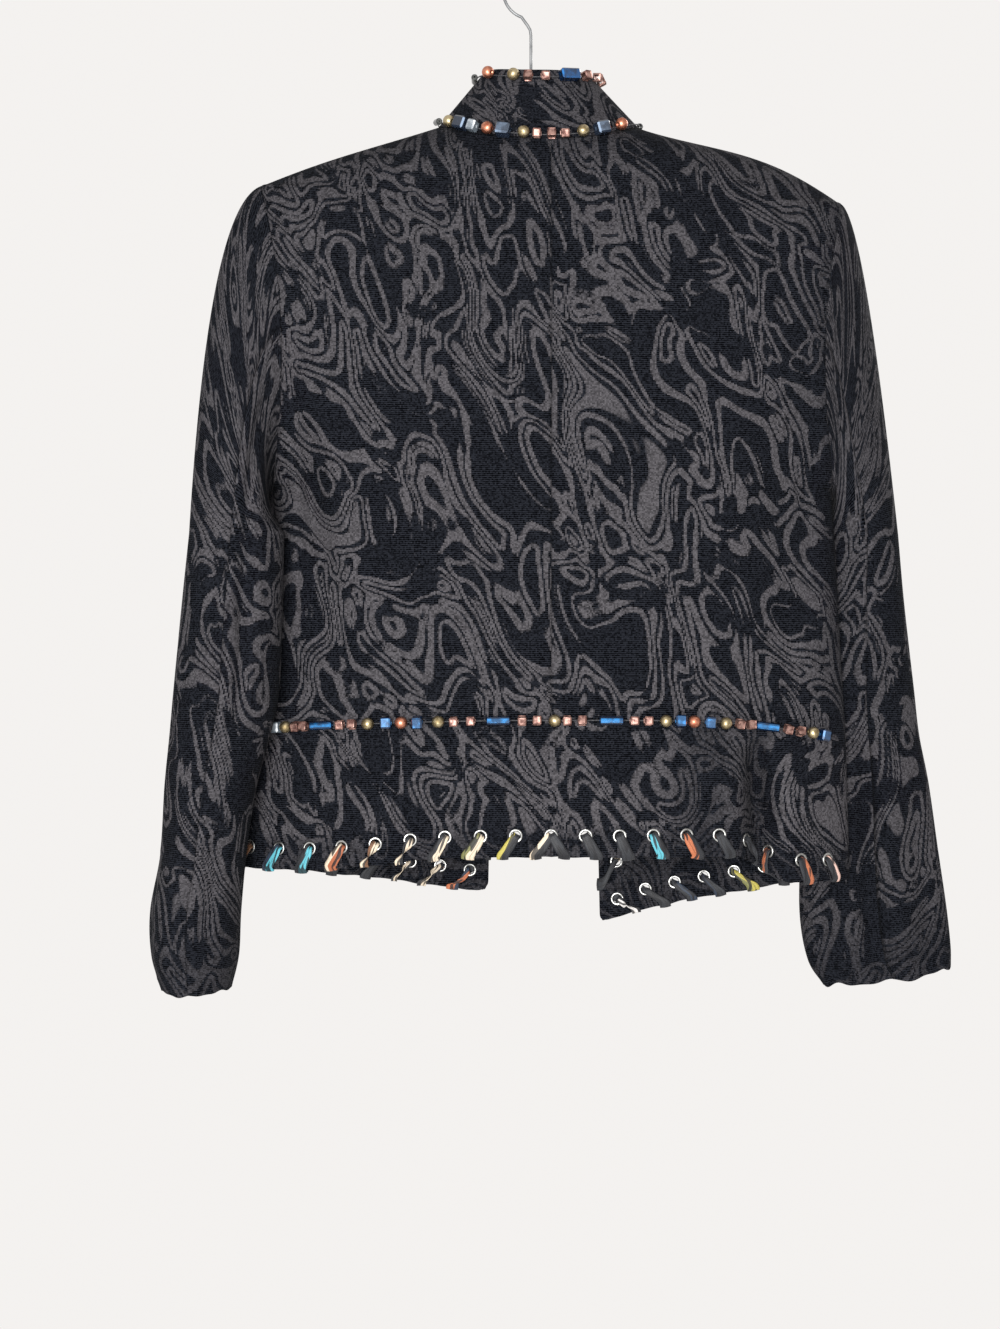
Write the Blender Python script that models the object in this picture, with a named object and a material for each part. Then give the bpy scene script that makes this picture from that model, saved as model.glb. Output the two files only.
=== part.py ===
"""Short jacket with a stand collar, bead trim and a laced hem, hanging on a wire hanger.

The jacket's back faces -Y, its open fronts face +Y, +X is the right of a viewer behind it and +Z is up.
The origin is the inside top of the hanger's hook. Sizes in the tables are millimetres.
"""
import math
from collections import namedtuple

import bpy
import numpy as np

MM = 0.001
WALL = 1.6
SEAM = 0.3
CENTRE_X = 14.0
ARMHOLE_DEPTH = 45.0
PEPLUM_DEPTH = 101.0
SLEEVE_RADIUS = 36.0

# One row for each half of the jacket: neck point, shoulder tip, underarm, side seam at waist and hem, how the
# waist drops to the side, between which shares of the width the back hem does, and the front edge and its hem.
Half = namedtuple("Half", "out neck_x neck_z tip_x tip_z rise arm_x arm_z inset waist_x waist_z hem_x hem_z "
                          "waist_curve drop_from drop_to "
                          "edge_neck_x edge_waist_x edge_hem_x edge_hem_z edge_curve")
LEFT = Half(out=-1, neck_x=-71, neck_z=-126, tip_x=-205, tip_z=-170, rise=2, arm_x=-196, arm_z=-400, inset=15,
            waist_x=-213, waist_z=-584, hem_x=-224, hem_z=-689, waist_curve=2.0, drop_from=0.22, drop_to=0.85,
            edge_neck_x=-20, edge_waist_x=-31, edge_hem_x=-33, edge_hem_z=-715, edge_curve=0.9)
RIGHT = Half(out=1, neck_x=83, neck_z=-127, tip_x=236, tip_z=-184, rise=10, arm_x=229, arm_z=-402, inset=15,
             waist_x=240, waist_z=-596, hem_x=243, hem_z=-698, waist_curve=4.0, drop_from=0.58, drop_to=0.80,
             edge_neck_x=46, edge_waist_x=52, edge_hem_x=55, edge_hem_z=-741, edge_curve=0.68)

# One row for each level of the body: height and depth at the centre back and at the front edge, how full the
# curve from there to the side is, and how roundly it turns at the side.
Level = namedtuple("Level", "back_z back_depth back_full back_turn front_z front_depth front_full front_turn "
                            "drop")
LEVELS = {
    "neck": Level(-146, 50, 2.0, 1.7, -186, 46, 2.0, 1.7, 1.6),
    "tip": Level(-187, 60, 2.2, 1.6, -218, 52, 2.0, 1.6, 1.6),
    "mid_armhole": Level(-290, 68, 2.4, 1.4, -305, 58, 2.0, 1.4, 1.3),
    "underarm": Level(-402, 66, 2.3, 1.8, -405, 57, 1.8, 1.7, 1.0),
    "waist": Level(-576, 60, 2.2, 1.8, -600, 50, 1.7, 1.7, 1.0),
    "hem": Level(-677, 58, 2.2, 1.8, -715, 45, 1.7, 1.7, 1.0),
}
NECK, TIP, UNDERARM, WAIST, HEM = 0.0, 1.0, 3.0, 4.0, 5.0

# Largest folds of the back: where each starts and ends, its half width and its height outward. The first is the
# deep one at the right of the peplum, whose flanks have the width below.
SIDE_FOLD_X = 170.0
SIDE_FOLD_FLANK = 19.5
Fold = namedtuple("Fold", "x0 z0 x1 z1 half height")
FOLDS = (
    Fold(SIDE_FOLD_X - 1, -590, SIDE_FOLD_X, -770, 12, -17),
    Fold(206, -586, 207, -740, 18, 4),
    Fold(140, -270, 146, -600, 26, 4),
    Fold(194, -330, 192, -560, 18, -5),
    Fold(-168, -330, -150, -540, 16, -5),
    Fold(-120, -610, -126, -715, 22, 4),
)

# Sleeve sections below the underarm: height, middle, half width, middle depth, half depth, rise to the outside.
Ring = namedtuple("Ring", "z x half_width y half_depth rise")
SLEEVES = {
    LEFT: (
        Ring(-438, -219.0, 34.5, -44, 35, 0), Ring(-487, -222.0, 36.2, -46, 38, 0),
        Ring(-554, -226.0, 38.2, -49, 39, 0), Ring(-588, -231.0, 36.2, -49, 39, 0),
        Ring(-625, -238.0, 33.2, -46, 41, 0), Ring(-673, -243.5, 31.2, -43, 42, 0),
        Ring(-718, -250.5, 33.2, -38, 43, 0), Ring(-752, -251.5, 31.8, -34, 44, 0),
        Ring(-776, -250.5, 25.0, -33, 43, 0),
    ),
    RIGHT: (
        Ring(-435, 255.5, 29.0, 26, 38, 0), Ring(-487, 257.0, 34.0, 34, 36, 0),
        Ring(-555, 258.0, 42.0, 39, 34, 0), Ring(-590, 260.5, 44.0, 41, 33, 0),
        Ring(-629, 264.0, 48.0, 41, 31, 1), Ring(-680, 266.0, 53.0, 40, 29, 2),
        Ring(-727, 268.5, 56.5, 37, 28, 4), Ring(-760, 273.0, 55.0, 35, 27, 6),
        Ring(-778, 279.0, 49.0, 34, 27, 7),
    ),
}
# Sleeve head: how far the crown reaches out and drops before it turns down, at the top and under the arm.
Crown = namedtuple("Crown", "reach drop under_reach under_drop")
CROWNS = {LEFT: Crown(38, 16, 13, 12), RIGHT: Crown(19, 10, 9, 12)}
ARMHOLE_GAP = 1.1

# Collar top edge: middle, half width, depth behind and before, heights behind, at the sides and in front.
COLLAR_X = 5.0
COLLAR_HALF = 41.0
COLLAR_BACK = 42.0
COLLAR_FRONT = 40.0
COLLAR_BACK_Z = -93.0
COLLAR_SIDE_Z = {LEFT: -85.0, RIGHT: -89.0}
COLLAR_FRONT_Z = -120.0
COLLAR_FRONT_TURN = 62.0

# Eyelets and the flat lace through them.
EYELET_HOLE = 3.3
EYELET_BARREL = 3.6
EYELET_RIM = 5.0
EYELET_SIDES = 8
EYELET_GRIP = 0.8
EYELET_METAL = 0.6
CLOTH_HOLE = 4.5
CLOTH_HOLE_SIDES = 6
HEM_MARGIN = 16.0
EDGE_MARGIN = 15.0
BACK_PITCH = {LEFT: 26.0, RIGHT: 25.0}
TURN_SHARE = {LEFT: 0.55, RIGHT: 0.3}
SPAN_EYELET = 6
SPAN_SHARE = 0.84
FRONT_PITCH = 23.6
EDGE_PITCH = 30.0
BACK_EYELETS = 9
FRONT_EYELETS = 7
EDGE_EYELETS = 2
LACE_WIDE = 6.4
LACE_NARROW = 2.0
LACE_CLEAR = 0.85
LACE_PAIR = 1.15
LACE_THICK = 0.7
LACE_TAIL = 18.0

# Beads: length along the string, radius and whether round; the runs they are strung in from the middle out.
Bead = namedtuple("Bead", "length radius round")
BRASS = Bead(9.4, 4.7, True)
COPPER = Bead(9.6, 4.8, True)
CUBE = Bead(8.2, 4.4, False)
SMALL = Bead(6.0, 3.2, False)
BUGLE = Bead(16.0, 3.4, False)
LONG_RUN = (SMALL, SMALL, BUGLE, SMALL, SMALL, BRASS)
SHORT_RUN = (CUBE, COPPER, CUBE, BRASS)
WAIST_REACH_LEFT = 212.0
WAIST_REACH_RIGHT = 226.0
BEAD_SPACE = 4.2
COLLAR_SPACE = 3.0
BEAD_REST = 0.6
THREAD = 0.7
STRING_SIDES = 6

# Hanger wire: radius, hook, and where its arms end as shares of the shoulder lines.
WIRE = 1.15
HOOK_INSIDE = 20.0
HOOK_BEND = ((-2.4, -46.6), (-0.6, -49.8), (0.0, -54.0))
HANGER_APEX_Z = -96.0
HANGER_STEPS = (0.02, 0.25, 0.5, 0.75)
HANGER_LEFT_END = 0.93
HANGER_RIGHT_END = 0.76
HANGER_TURN = 7.0
HANGER_CLEAR = 0.5
HANGER_TAIL = 14.0

CLOTH_COLOUR = (0.028, 0.029, 0.032, 1.0)
BEAD_COLOUR = (0.42, 0.24, 0.14, 1.0)
STEEL_COLOUR = (0.55, 0.55, 0.54, 1.0)
LACE_COLOUR = (0.18, 0.17, 0.15, 1.0)
WIRE_COLOUR = (0.45, 0.46, 0.47, 1.0)


def unit(vector):
    return vector / max(np.linalg.norm(vector), 1e-12)


def tangent(vector, normal):
    return unit(vector - normal * np.dot(vector, normal))


def sideways(normal, along, toward):
    """Direction square to both the normal and the way along, on the side of toward."""
    side = unit(np.cross(normal, along))
    return side * np.sign(np.dot(side, toward))


def ease(knots, values, at):
    """Smooth curve through the values at the knots."""
    knots = np.asarray(knots, float)
    values = np.asarray(values, float)
    slopes = np.gradient(values, knots)
    i = int(np.clip(np.searchsorted(knots, at, side="right") - 1, 0, len(knots) - 2))
    step = knots[i + 1] - knots[i]
    t = (at - knots[i]) / step
    return ((1 + 2 * t) * (1 - t) ** 2 * values[i] + t * (1 - t) ** 2 * step * slopes[i]
            + t * t * (3 - 2 * t) * values[i + 1] + t * t * (t - 1) * step * slopes[i + 1])


def level(name, v):
    """A column of the level table at a height v."""
    return ease(range(len(LEVELS)), [getattr(row, name) for row in LEVELS.values()], v)


def seam_edge(half, v):
    """The outer edge of a panel: shoulder line, armhole, then side seam; x, depth from the middle, z."""
    if v <= TIP:
        x = half.neck_x + (half.tip_x - half.neck_x) * v
        z = half.neck_z + (half.tip_z - half.neck_z) * v + half.rise * math.sin(math.pi * v ** 1.5)
        return x, 0.0, z
    if v <= UNDERARM:
        angle = (v - TIP) / (UNDERARM - TIP) * math.pi
        down = (1 - math.cos(angle)) / 2
        x = half.tip_x + (half.arm_x - half.tip_x) * down - half.out * half.inset * math.sin(angle) ** 2
        z = half.tip_z + (half.arm_z - half.tip_z) * down
        return x, ARMHOLE_DEPTH * math.sin(angle), z
    if v <= WAIST:
        t = v - UNDERARM
        return half.arm_x + (half.waist_x - half.arm_x) * t, 0.0, half.arm_z + (half.waist_z - half.arm_z) * t
    t = v - WAIST
    return half.waist_x + (half.hem_x - half.waist_x) * t, 0.0, half.waist_z + (half.hem_z - half.waist_z) * t


def fold_height(x, z):
    total = 0.0
    for fold in FOLDS:
        start = np.array([fold.x0, fold.z0])
        run = np.array([fold.x1, fold.z1]) - start
        along = np.dot(np.array([x, z]) - start, run) / np.dot(run, run)
        off = np.linalg.norm(np.array([x, z]) - start - run * along) / fold.half
        fade = math.sin(math.pi * min(max(along, 0.0), 1.0)) ** 0.5 if 0 < along < 1 else 0.0
        total += fold.height * fade * math.exp(-off * off)
    return total


def side_drop(half, s, v):
    """Share of the fall from the centre back to the outer edge that is reached at s."""
    even = s ** (2.0 + (half.waist_curve - 2.0) * min(max(v - UNDERARM, 0.0), 1.0))
    t = min(max((s - half.drop_from) / (half.drop_to - half.drop_from), 0.0), 1.0)
    return even + (t * t * (3 - 2 * t) - even) * max(v - WAIST, 0.0)


def back_point(half, s, v):
    """Middle of the cloth on the back: s runs from the centre back to the outer edge."""
    edge_x, edge_depth, edge_z = seam_edge(half, v)
    centre = CENTRE_X + half.out * SEAM / 2
    x = centre + (edge_x - centre) * s
    centre_z = level("back_z", v)
    z = centre_z + (edge_z - centre_z) * side_drop(half, s, v)
    crown = max(1 - s ** level("back_full", v), 0.0) ** (1 / level("back_turn", v))
    depth = edge_depth + (level("back_depth", v) - edge_depth) * crown
    depth += fold_height(x, z) * (1 - s ** 8)
    return np.array([x, -depth - SEAM / 2, z])


def front_point(half, s, v):
    """Middle of the cloth on a front: s runs from the front edge to the outer edge."""
    edge_x, edge_depth, edge_z = seam_edge(half, v)
    if v <= WAIST:
        start_x = half.edge_neck_x + (half.edge_waist_x - half.edge_neck_x) * v / WAIST
        start_z = level("front_z", v)
        power = level("drop", v)
    else:
        t = v - WAIST
        start_x = half.edge_waist_x + (half.edge_hem_x - half.edge_waist_x) * t
        start_z = LEVELS["waist"].front_z + (half.edge_hem_z - LEVELS["waist"].front_z) * t
        power = 1.0 + (half.edge_curve - 1.0) * t
    x = start_x + (edge_x - start_x) * s
    z = start_z + (edge_z - start_z) * s ** power
    across = abs((x - CENTRE_X) / (edge_x - CENTRE_X))
    crown = max(1 - across ** level("front_full", v), 0.0) ** (1 / level("front_turn", v))
    depth = edge_depth + (level("front_depth", v) - edge_depth) * crown
    return np.array([x, depth + SEAM / 2, z])


def panel_normal(point, half, s, v, lowest, highest, facing):
    """Outward direction of a panel; facing is -1 on the back and +1 on a front."""
    v0, v1 = max(v - 0.02, lowest), min(v + 0.02, highest)
    if s > 0.9999 and (v <= TIP or v >= UNDERARM):
        along = point(half, 1.0, v1) - point(half, 1.0, v0)
        return unit(np.array([-along[2] * half.out, 0.0, along[0] * half.out]))
    s0, s1 = (max(s - 0.01, 0.0), min(s + 0.01, 1.0)) if s < 0.98 else (0.92, 1.0)
    across = point(half, s1, v) - point(half, s0, v)
    down = point(half, s, v1) - point(half, s, v0)
    normal = unit(np.cross(across, down)) * half.out * facing
    if facing < 0 and s < 1e-6:
        normal[0] = 0.0
    return unit(normal)


def armhole(half, angle):
    """Sleeve end at the armhole; angle 0 is the shoulder tip, 90 degrees the back."""
    down = (1 - math.cos(angle)) / 2
    x = half.tip_x + (half.arm_x - half.tip_x) * down - half.out * half.inset * math.sin(angle) ** 2
    z = half.tip_z + (half.arm_z - half.tip_z) * down
    gap = ARMHOLE_GAP * (1 + down ** 2)
    return np.array([x + half.out * gap, -ARMHOLE_DEPTH * math.sin(angle), z])


def sleeve_ring(half, angle, w):
    """Lower sleeve: w counts the rows of the sleeve table."""
    rows = SLEEVES[half]
    names = range(len(rows))
    z, x, a, y, b, rise = (ease(names, [getattr(row, name) for row in rows], w) for name in Ring._fields)
    return np.array([x + half.out * a * math.cos(angle), y - b * math.sin(angle), z + rise * math.cos(angle)])


def sleeve_point(half, angle, w):
    """Middle of the sleeve cloth: w from -1 at the armhole to 0 at the first ring, then down the table."""
    if w >= 0:
        return sleeve_ring(half, angle, w)
    t = w + 1
    crown = CROWNS[half]
    start = armhole(half, angle)
    end = sleeve_ring(half, angle, 0)
    up = math.cos(angle / 2) ** 2
    bend = start.copy()
    bend[0] += half.out * (crown.reach * up + crown.under_reach * (1 - up))
    bend[1] += (end[1] - start[1]) / 3
    bend[2] -= crown.drop * up + crown.under_drop * (1 - up)
    return (1 - t) ** 2 * start + 2 * t * (1 - t) * bend + t * t * end


def sleeve_normal(half, angle, w):
    last = len(SLEEVES[half]) - 1
    around = sleeve_point(half, angle + 0.02, w) - sleeve_point(half, angle - 0.02, w)
    down = sleeve_point(half, angle, min(w + 0.02, last)) - sleeve_point(half, angle, max(w - 0.02, -1))
    return unit(np.cross(around, down)) * half.out


def collar_point(q, h):
    """Middle of the collar cloth: q runs -2 at the left front, 0 at the centre back, 2 at the right front."""
    half = LEFT if q < 0 else RIGHT
    turn = min(abs(q), 1.0) * math.pi / 2
    side = abs(q)
    if side <= 1:
        low = back_point(half, math.sin(turn), NECK)
        angle = turn
        top_z = COLLAR_BACK_Z + (COLLAR_SIDE_Z[half] - COLLAR_BACK_Z) * math.sin(turn) ** 2
    else:
        low = front_point(half, math.sin((2 - side) * math.pi / 2), NECK)
        angle = math.pi / 2 + (side - 1) * math.radians(COLLAR_FRONT_TURN)
        top_z = COLLAR_SIDE_Z[half] + (COLLAR_FRONT_Z - COLLAR_SIDE_Z[half]) * (side - 1) ** 1.5
    depth = COLLAR_BACK if angle < math.pi / 2 else COLLAR_FRONT
    top = np.array([COLLAR_X + half.out * COLLAR_HALF * math.sin(angle), -depth * math.cos(angle), top_z])
    rise = top - low
    start = SEAM * 1.5 + WALL * 0.5 * (math.exp(-((side - 1) / 0.35) ** 2) if side < 1 else 1.0)
    return low + unit(rise) * start + rise * h * (1 - start / np.linalg.norm(rise))


def collar_normal(q, h):
    q0, q1 = max(q - 0.02, -2), min(q + 0.02, 2)
    around = collar_point(q1, h) - collar_point(q0, h)
    up = collar_point(q, min(h + 0.05, 1)) - collar_point(q, max(h - 0.05, 0))
    return unit(np.cross(around, up))


def material(name, colour, metallic=0.0, roughness=0.8):
    made = bpy.data.materials.new(name)
    made.use_nodes = True
    shader = made.node_tree.nodes["Principled BSDF"]
    shader.inputs["Base Color"].default_value = colour
    shader.inputs["Metallic"].default_value = metallic
    shader.inputs["Roughness"].default_value = roughness
    return made


def add_solid(name, points, faces, look):
    mesh = bpy.data.meshes.new(name)
    mesh.from_pydata([tuple(np.asarray(p) * MM) for p in points], [], faces)
    mesh.validate()
    mesh.materials.append(look)
    made = bpy.data.objects.new(name, mesh)
    bpy.context.collection.objects.link(made)
    return made


def split(a, b, c, d):
    return [(a, b, c), (a, c, d)]


def wall(name, points, normals, look):
    """A cloth wall: the grid of points moved half the wall out and in, closed round its rim."""
    points = np.asarray(points)
    normals = np.asarray(normals)
    rows, cols = points.shape[:2]
    verts = np.concatenate([(points + normals * WALL / 2).reshape(-1, 3),
                            (points - normals * WALL / 2).reshape(-1, 3)])
    inner = rows * cols
    facing = np.cross(points[1:, :-1] - points[:-1, :-1], points[:-1, 1:] - points[:-1, :-1])
    flip = np.sum(facing * normals[:-1, :-1]) < 0
    faces = []
    for i in range(rows - 1):
        for j in range(cols - 1):
            a, b, c, d = i * cols + j, (i + 1) * cols + j, (i + 1) * cols + j + 1, i * cols + j + 1
            faces += split(a, b, c, d)
            faces += split(inner + a, inner + d, inner + c, inner + b)
    rim = [i * cols for i in range(rows)] + [(rows - 1) * cols + j for j in range(1, cols)]
    rim += [i * cols + cols - 1 for i in range(rows - 2, -1, -1)] + list(range(cols - 2, 0, -1))
    for a, b in zip(rim, rim[1:] + rim[:1]):
        faces += split(a, a + inner, b + inner, b)
    if flip:
        faces = [face[::-1] for face in faces]
    return add_solid(name, verts, faces, look)


def spread(count):
    """Steps from 0 to 1, closer together toward 1."""
    return [math.sin(math.pi / 2 * k / count) for k in range(count)] + [1.0]


def skirt_columns(half):
    """Columns of the back peplum, three of them moved to the brims and the bottom of the side fold."""
    cols = np.array(spread(10))
    if half is RIGHT:
        for x in (SIDE_FOLD_X - SIDE_FOLD_FLANK, SIDE_FOLD_X, SIDE_FOLD_X + SIDE_FOLD_FLANK):
            share = (x - CENTRE_X) / (half.hem_x - CENTRE_X)
            cols[np.argmin(abs(cols - share))] = share
    return cols


class Cloth:
    """A panel's grid: rows down the panel, columns from the middle of the jacket to the outer edge."""

    def __init__(self, point, facing, half, rows, cols):
        self.rows, self.cols = np.asarray(rows), np.asarray(cols)
        ends = rows[0], rows[-1]
        self.points = np.array([[point(half, s, v) for s in cols] for v in rows])
        self.normals = np.array([[panel_normal(point, half, s, v, *ends, facing) for s in cols] for v in rows])

    def at(self, s, v):
        """Point and outward direction on the flat facets of the panel."""
        i = int(np.clip(np.searchsorted(self.rows, v, side="right") - 1, 0, len(self.rows) - 2))
        j = int(np.clip(np.searchsorted(self.cols, s, side="right") - 1, 0, len(self.cols) - 2))
        down = (v - self.rows[i]) / (self.rows[i + 1] - self.rows[i])
        over = (s - self.cols[j]) / (self.cols[j + 1] - self.cols[j])
        a, b = self.points[i, j], self.points[i + 1, j]
        d, c = self.points[i, j + 1], self.points[i + 1, j + 1]
        if down >= over:
            place, facing = a + (b - a) * down + (c - b) * over, np.cross(b - a, c - b)
        else:
            place, facing = a + (d - a) * over + (c - d) * down, np.cross(c - d, d - a)
        return place, unit(facing) * np.sign(np.dot(facing, self.normals[i, j]))

    def level_path(self, v, above=0.0):
        """The row at a height v, or a length above it."""
        spots = [math.sin(t) for t in np.linspace(0, math.pi / 2, 120)]
        found = []
        for s in spots:
            length = np.linalg.norm(self.at(s, v)[0] - self.at(s, v - 0.5)[0]) * 2
            found.append(self.at(s, v - above / length))
        return Path(*zip(*found))

    def upright_path(self, s):
        return Path(*zip(*[self.at(s, v) for v in np.linspace(self.rows[0], self.rows[-1], 60)]))

    def solid(self, name, look):
        return wall(name, self.points, self.normals, look)


def tube(name, rings, look):
    """A closed skin over a run of rings of points, with flat ends."""
    sides = len(rings[0])
    verts = [p for ring in rings for p in ring]
    faces = []
    for i in range(len(rings) - 1):
        for k in range(sides):
            a, b = i * sides + k, i * sides + (k + 1) % sides
            faces += split(a, b, b + sides, a + sides)
    last = (len(rings) - 1) * sides
    for k in range(1, sides - 1):
        faces.append((0, k + 1, k))
        faces.append((last, last + k, last + k + 1))
    return add_solid(name, verts, faces, look)


class Path:
    """A run of points with outward directions, measured along its length."""

    def __init__(self, points, normals):
        self.points = np.asarray(points)
        self.normals = np.asarray(normals)
        steps = np.linalg.norm(np.diff(self.points, axis=0), axis=1)
        self.length = np.concatenate([[0.0], np.cumsum(steps)])

    def at(self, distance):
        point = np.array([np.interp(distance, self.length, self.points[:, k]) for k in range(3)])
        normal = np.array([np.interp(distance, self.length, self.normals[:, k]) for k in range(3)])
        return point, unit(normal)

    def along(self, distance):
        return unit(self.at(distance + 0.5)[0] - self.at(distance - 0.5)[0])


def bead_string(name, path, beads, look):
    """One string: each bead swells from the thread and rests just clear of the cloth."""
    rings = []

    def add_ring(distance, radius, rest):
        point, normal = path.at(distance)
        along = path.along(distance)
        side = unit(np.cross(along, normal))
        middle = point + normal * (WALL / 2 + BEAD_REST + rest)
        turns = [2 * math.pi * (k + 0.5) / STRING_SIDES for k in range(STRING_SIDES)]
        rings.append([middle + side * radius * math.cos(t) - normal * radius * math.sin(t) for t in turns])

    before = beads[0][1].radius
    for k, (place, bead) in enumerate(beads):
        half = bead.length / 2
        gap = 0.8 if k == 0 else (place - half - beads[k - 1][0] - beads[k - 1][1].length / 2) / 2
        add_ring(place - half - gap, THREAD, (before + bead.radius) / 2)
        if bead.round:
            for part, size in ((-0.72, 0.72), (0.0, 1.0), (0.72, 0.72)):
                add_ring(place + half * part, bead.radius * size, bead.radius)
        else:
            add_ring(place - half, bead.radius, bead.radius)
            add_ring(place + half, bead.radius, bead.radius)
        before = bead.radius
    add_ring(beads[-1][0] + beads[-1][1].length / 2 + 0.8, THREAD, before)
    return tube(name, rings, look)


def run_of_beads(middle, runs, space, left, right):
    """Beads set out from the middle both ways, as far as the left and right lengths allow."""
    placed = [(middle, BRASS)]
    for way, reach in ((-1, left), (1, right)):
        place, before = 0.0, BRASS
        for bead in runs:
            place += before.length / 2 + space + bead.length / 2
            if place + bead.length / 2 > reach:
                break
            placed.append((middle + way * place, bead))
            before = bead
    return sorted(placed)


def eyelet(name, seat, look):
    """A spool of metal that grips the cloth's hole from both sides."""
    place, normal, along = seat.place, seat.normal, seat.onward
    across = unit(np.cross(normal, along))
    gap = WALL / 2 + EYELET_GRIP
    top = gap + EYELET_METAL
    profile = ((EYELET_HOLE, -top), (EYELET_HOLE, top), (EYELET_RIM, gap + 0.15),
               (EYELET_BARREL, gap), (EYELET_BARREL, -gap), (EYELET_RIM, -gap - 0.15))
    verts = []
    for k in range(EYELET_SIDES):
        turn = 2 * math.pi * k / EYELET_SIDES
        out = along * math.cos(turn) + across * math.sin(turn)
        verts += [place + out * r + normal * n for r, n in profile]
    count = len(profile)
    faces = []
    for k in range(EYELET_SIDES):
        for j in range(count):
            a, b = k * count + j, k * count + (j + 1) % count
            c, d = (b + count) % len(verts), (a + count) % len(verts)
            faces += split(a, b, c, d)
    return add_solid(name, verts, faces, look)


def hole_cutter(name, places):
    verts, faces = [], []
    for place, normal, _, along in places:
        across = unit(np.cross(normal, along))
        start = len(verts)
        for end in (-4.0, 4.0):
            for k in range(CLOTH_HOLE_SIDES):
                turn = 2 * math.pi * k / CLOTH_HOLE_SIDES
                out = along * math.cos(turn) + across * math.sin(turn)
                verts.append(place + out * CLOTH_HOLE + normal * end)
        for k in range(CLOTH_HOLE_SIDES):
            a, b = start + k, start + (k + 1) % CLOTH_HOLE_SIDES
            faces += split(a, b, b + CLOTH_HOLE_SIDES, a + CLOTH_HOLE_SIDES)
        for k in range(1, CLOTH_HOLE_SIDES - 1):
            faces.append((start, start + k + 1, start + k))
            low = start + CLOTH_HOLE_SIDES
            faces.append((low, low + k, low + k + 1))
    cutter = add_solid(name, verts, faces, None)
    cutter.hide_render = True
    cutter.display_type = "WIRE"
    return cutter


def cut_holes(target, places):
    cutter = hole_cutter(target.name + "_cutter", places)
    cut = target.modifiers.new("eyelet_holes", "BOOLEAN")
    cut.operation = "DIFFERENCE"
    cut.solver = "EXACT"
    cut.object = cutter


# A place an eyelet sits: on the cloth, with its outward direction, the way to the cloth's edge and the way on.
Seat = namedtuple("Seat", "place normal to_edge onward")
# A place the lace wraps the cloth's edge: its outward direction and the way along the edge.
Turn = namedtuple("Turn", "place normal along")


def seats_and_turns(half, back_cloth, front_cloth):
    """Eyelet seats of one half from the centre back to the front edge, and the edge points the lace wraps."""
    back = back_cloth.level_path(HEM, HEM_MARGIN)
    back_hem = back_cloth.level_path(HEM)
    front = front_cloth.level_path(HEM, HEM_MARGIN)
    front_hem = front_cloth.level_path(HEM)
    rail = front_cloth.upright_path(EDGE_MARGIN / front.length[-1])
    edge = front_cloth.upright_path(0.0)
    seats, turns = [], []

    def seat(path, rim, share, distance, onward):
        place, normal = path.at(distance)
        edge_spot, _ = rim.at(share * rim.length[-1])
        way = path.along(distance) * onward
        out = edge_spot - place
        to_edge = unit(out - way * np.dot(out, way) - normal * np.dot(out, normal))
        seats.append(Seat(place, normal, to_edge, way))

    def turn(rim, share, onward):
        distance = share * rim.length[-1]
        place, normal = rim.at(distance)
        turns.append(Turn(place, normal, rim.along(distance) * onward))

    pitch = BACK_PITCH[half]
    for k in range(BACK_EYELETS + 1):
        distance = pitch * k
        seat(back, back_hem, distance / back.length[-1], distance, 1)
        share = SPAN_SHARE if half is RIGHT and k == SPAN_EYELET else TURN_SHARE[half]
        turn(back_hem, min((distance + pitch * share) / back.length[-1], 1.0), 1)
    for k in range(FRONT_EYELETS - 1, -1, -1):
        distance = EDGE_MARGIN + FRONT_PITCH * k
        seat(front, front_hem, distance / front.length[-1], distance, -1)
        if k > 0:
            turn(front_hem, (distance - FRONT_PITCH * 0.55) / front.length[-1], -1)
    total = rail.length[-1]
    turn(edge, 1 - (HEM_MARGIN + EDGE_PITCH * 0.45) / total, -1)
    for k in range(1, EDGE_EYELETS + 1):
        distance = total - HEM_MARGIN - EDGE_PITCH * k
        seat(rail, edge, distance / total, distance, -1)
        turn(edge, (distance - EDGE_PITCH * 0.5) / total, -1)
    return seats, turns


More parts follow.
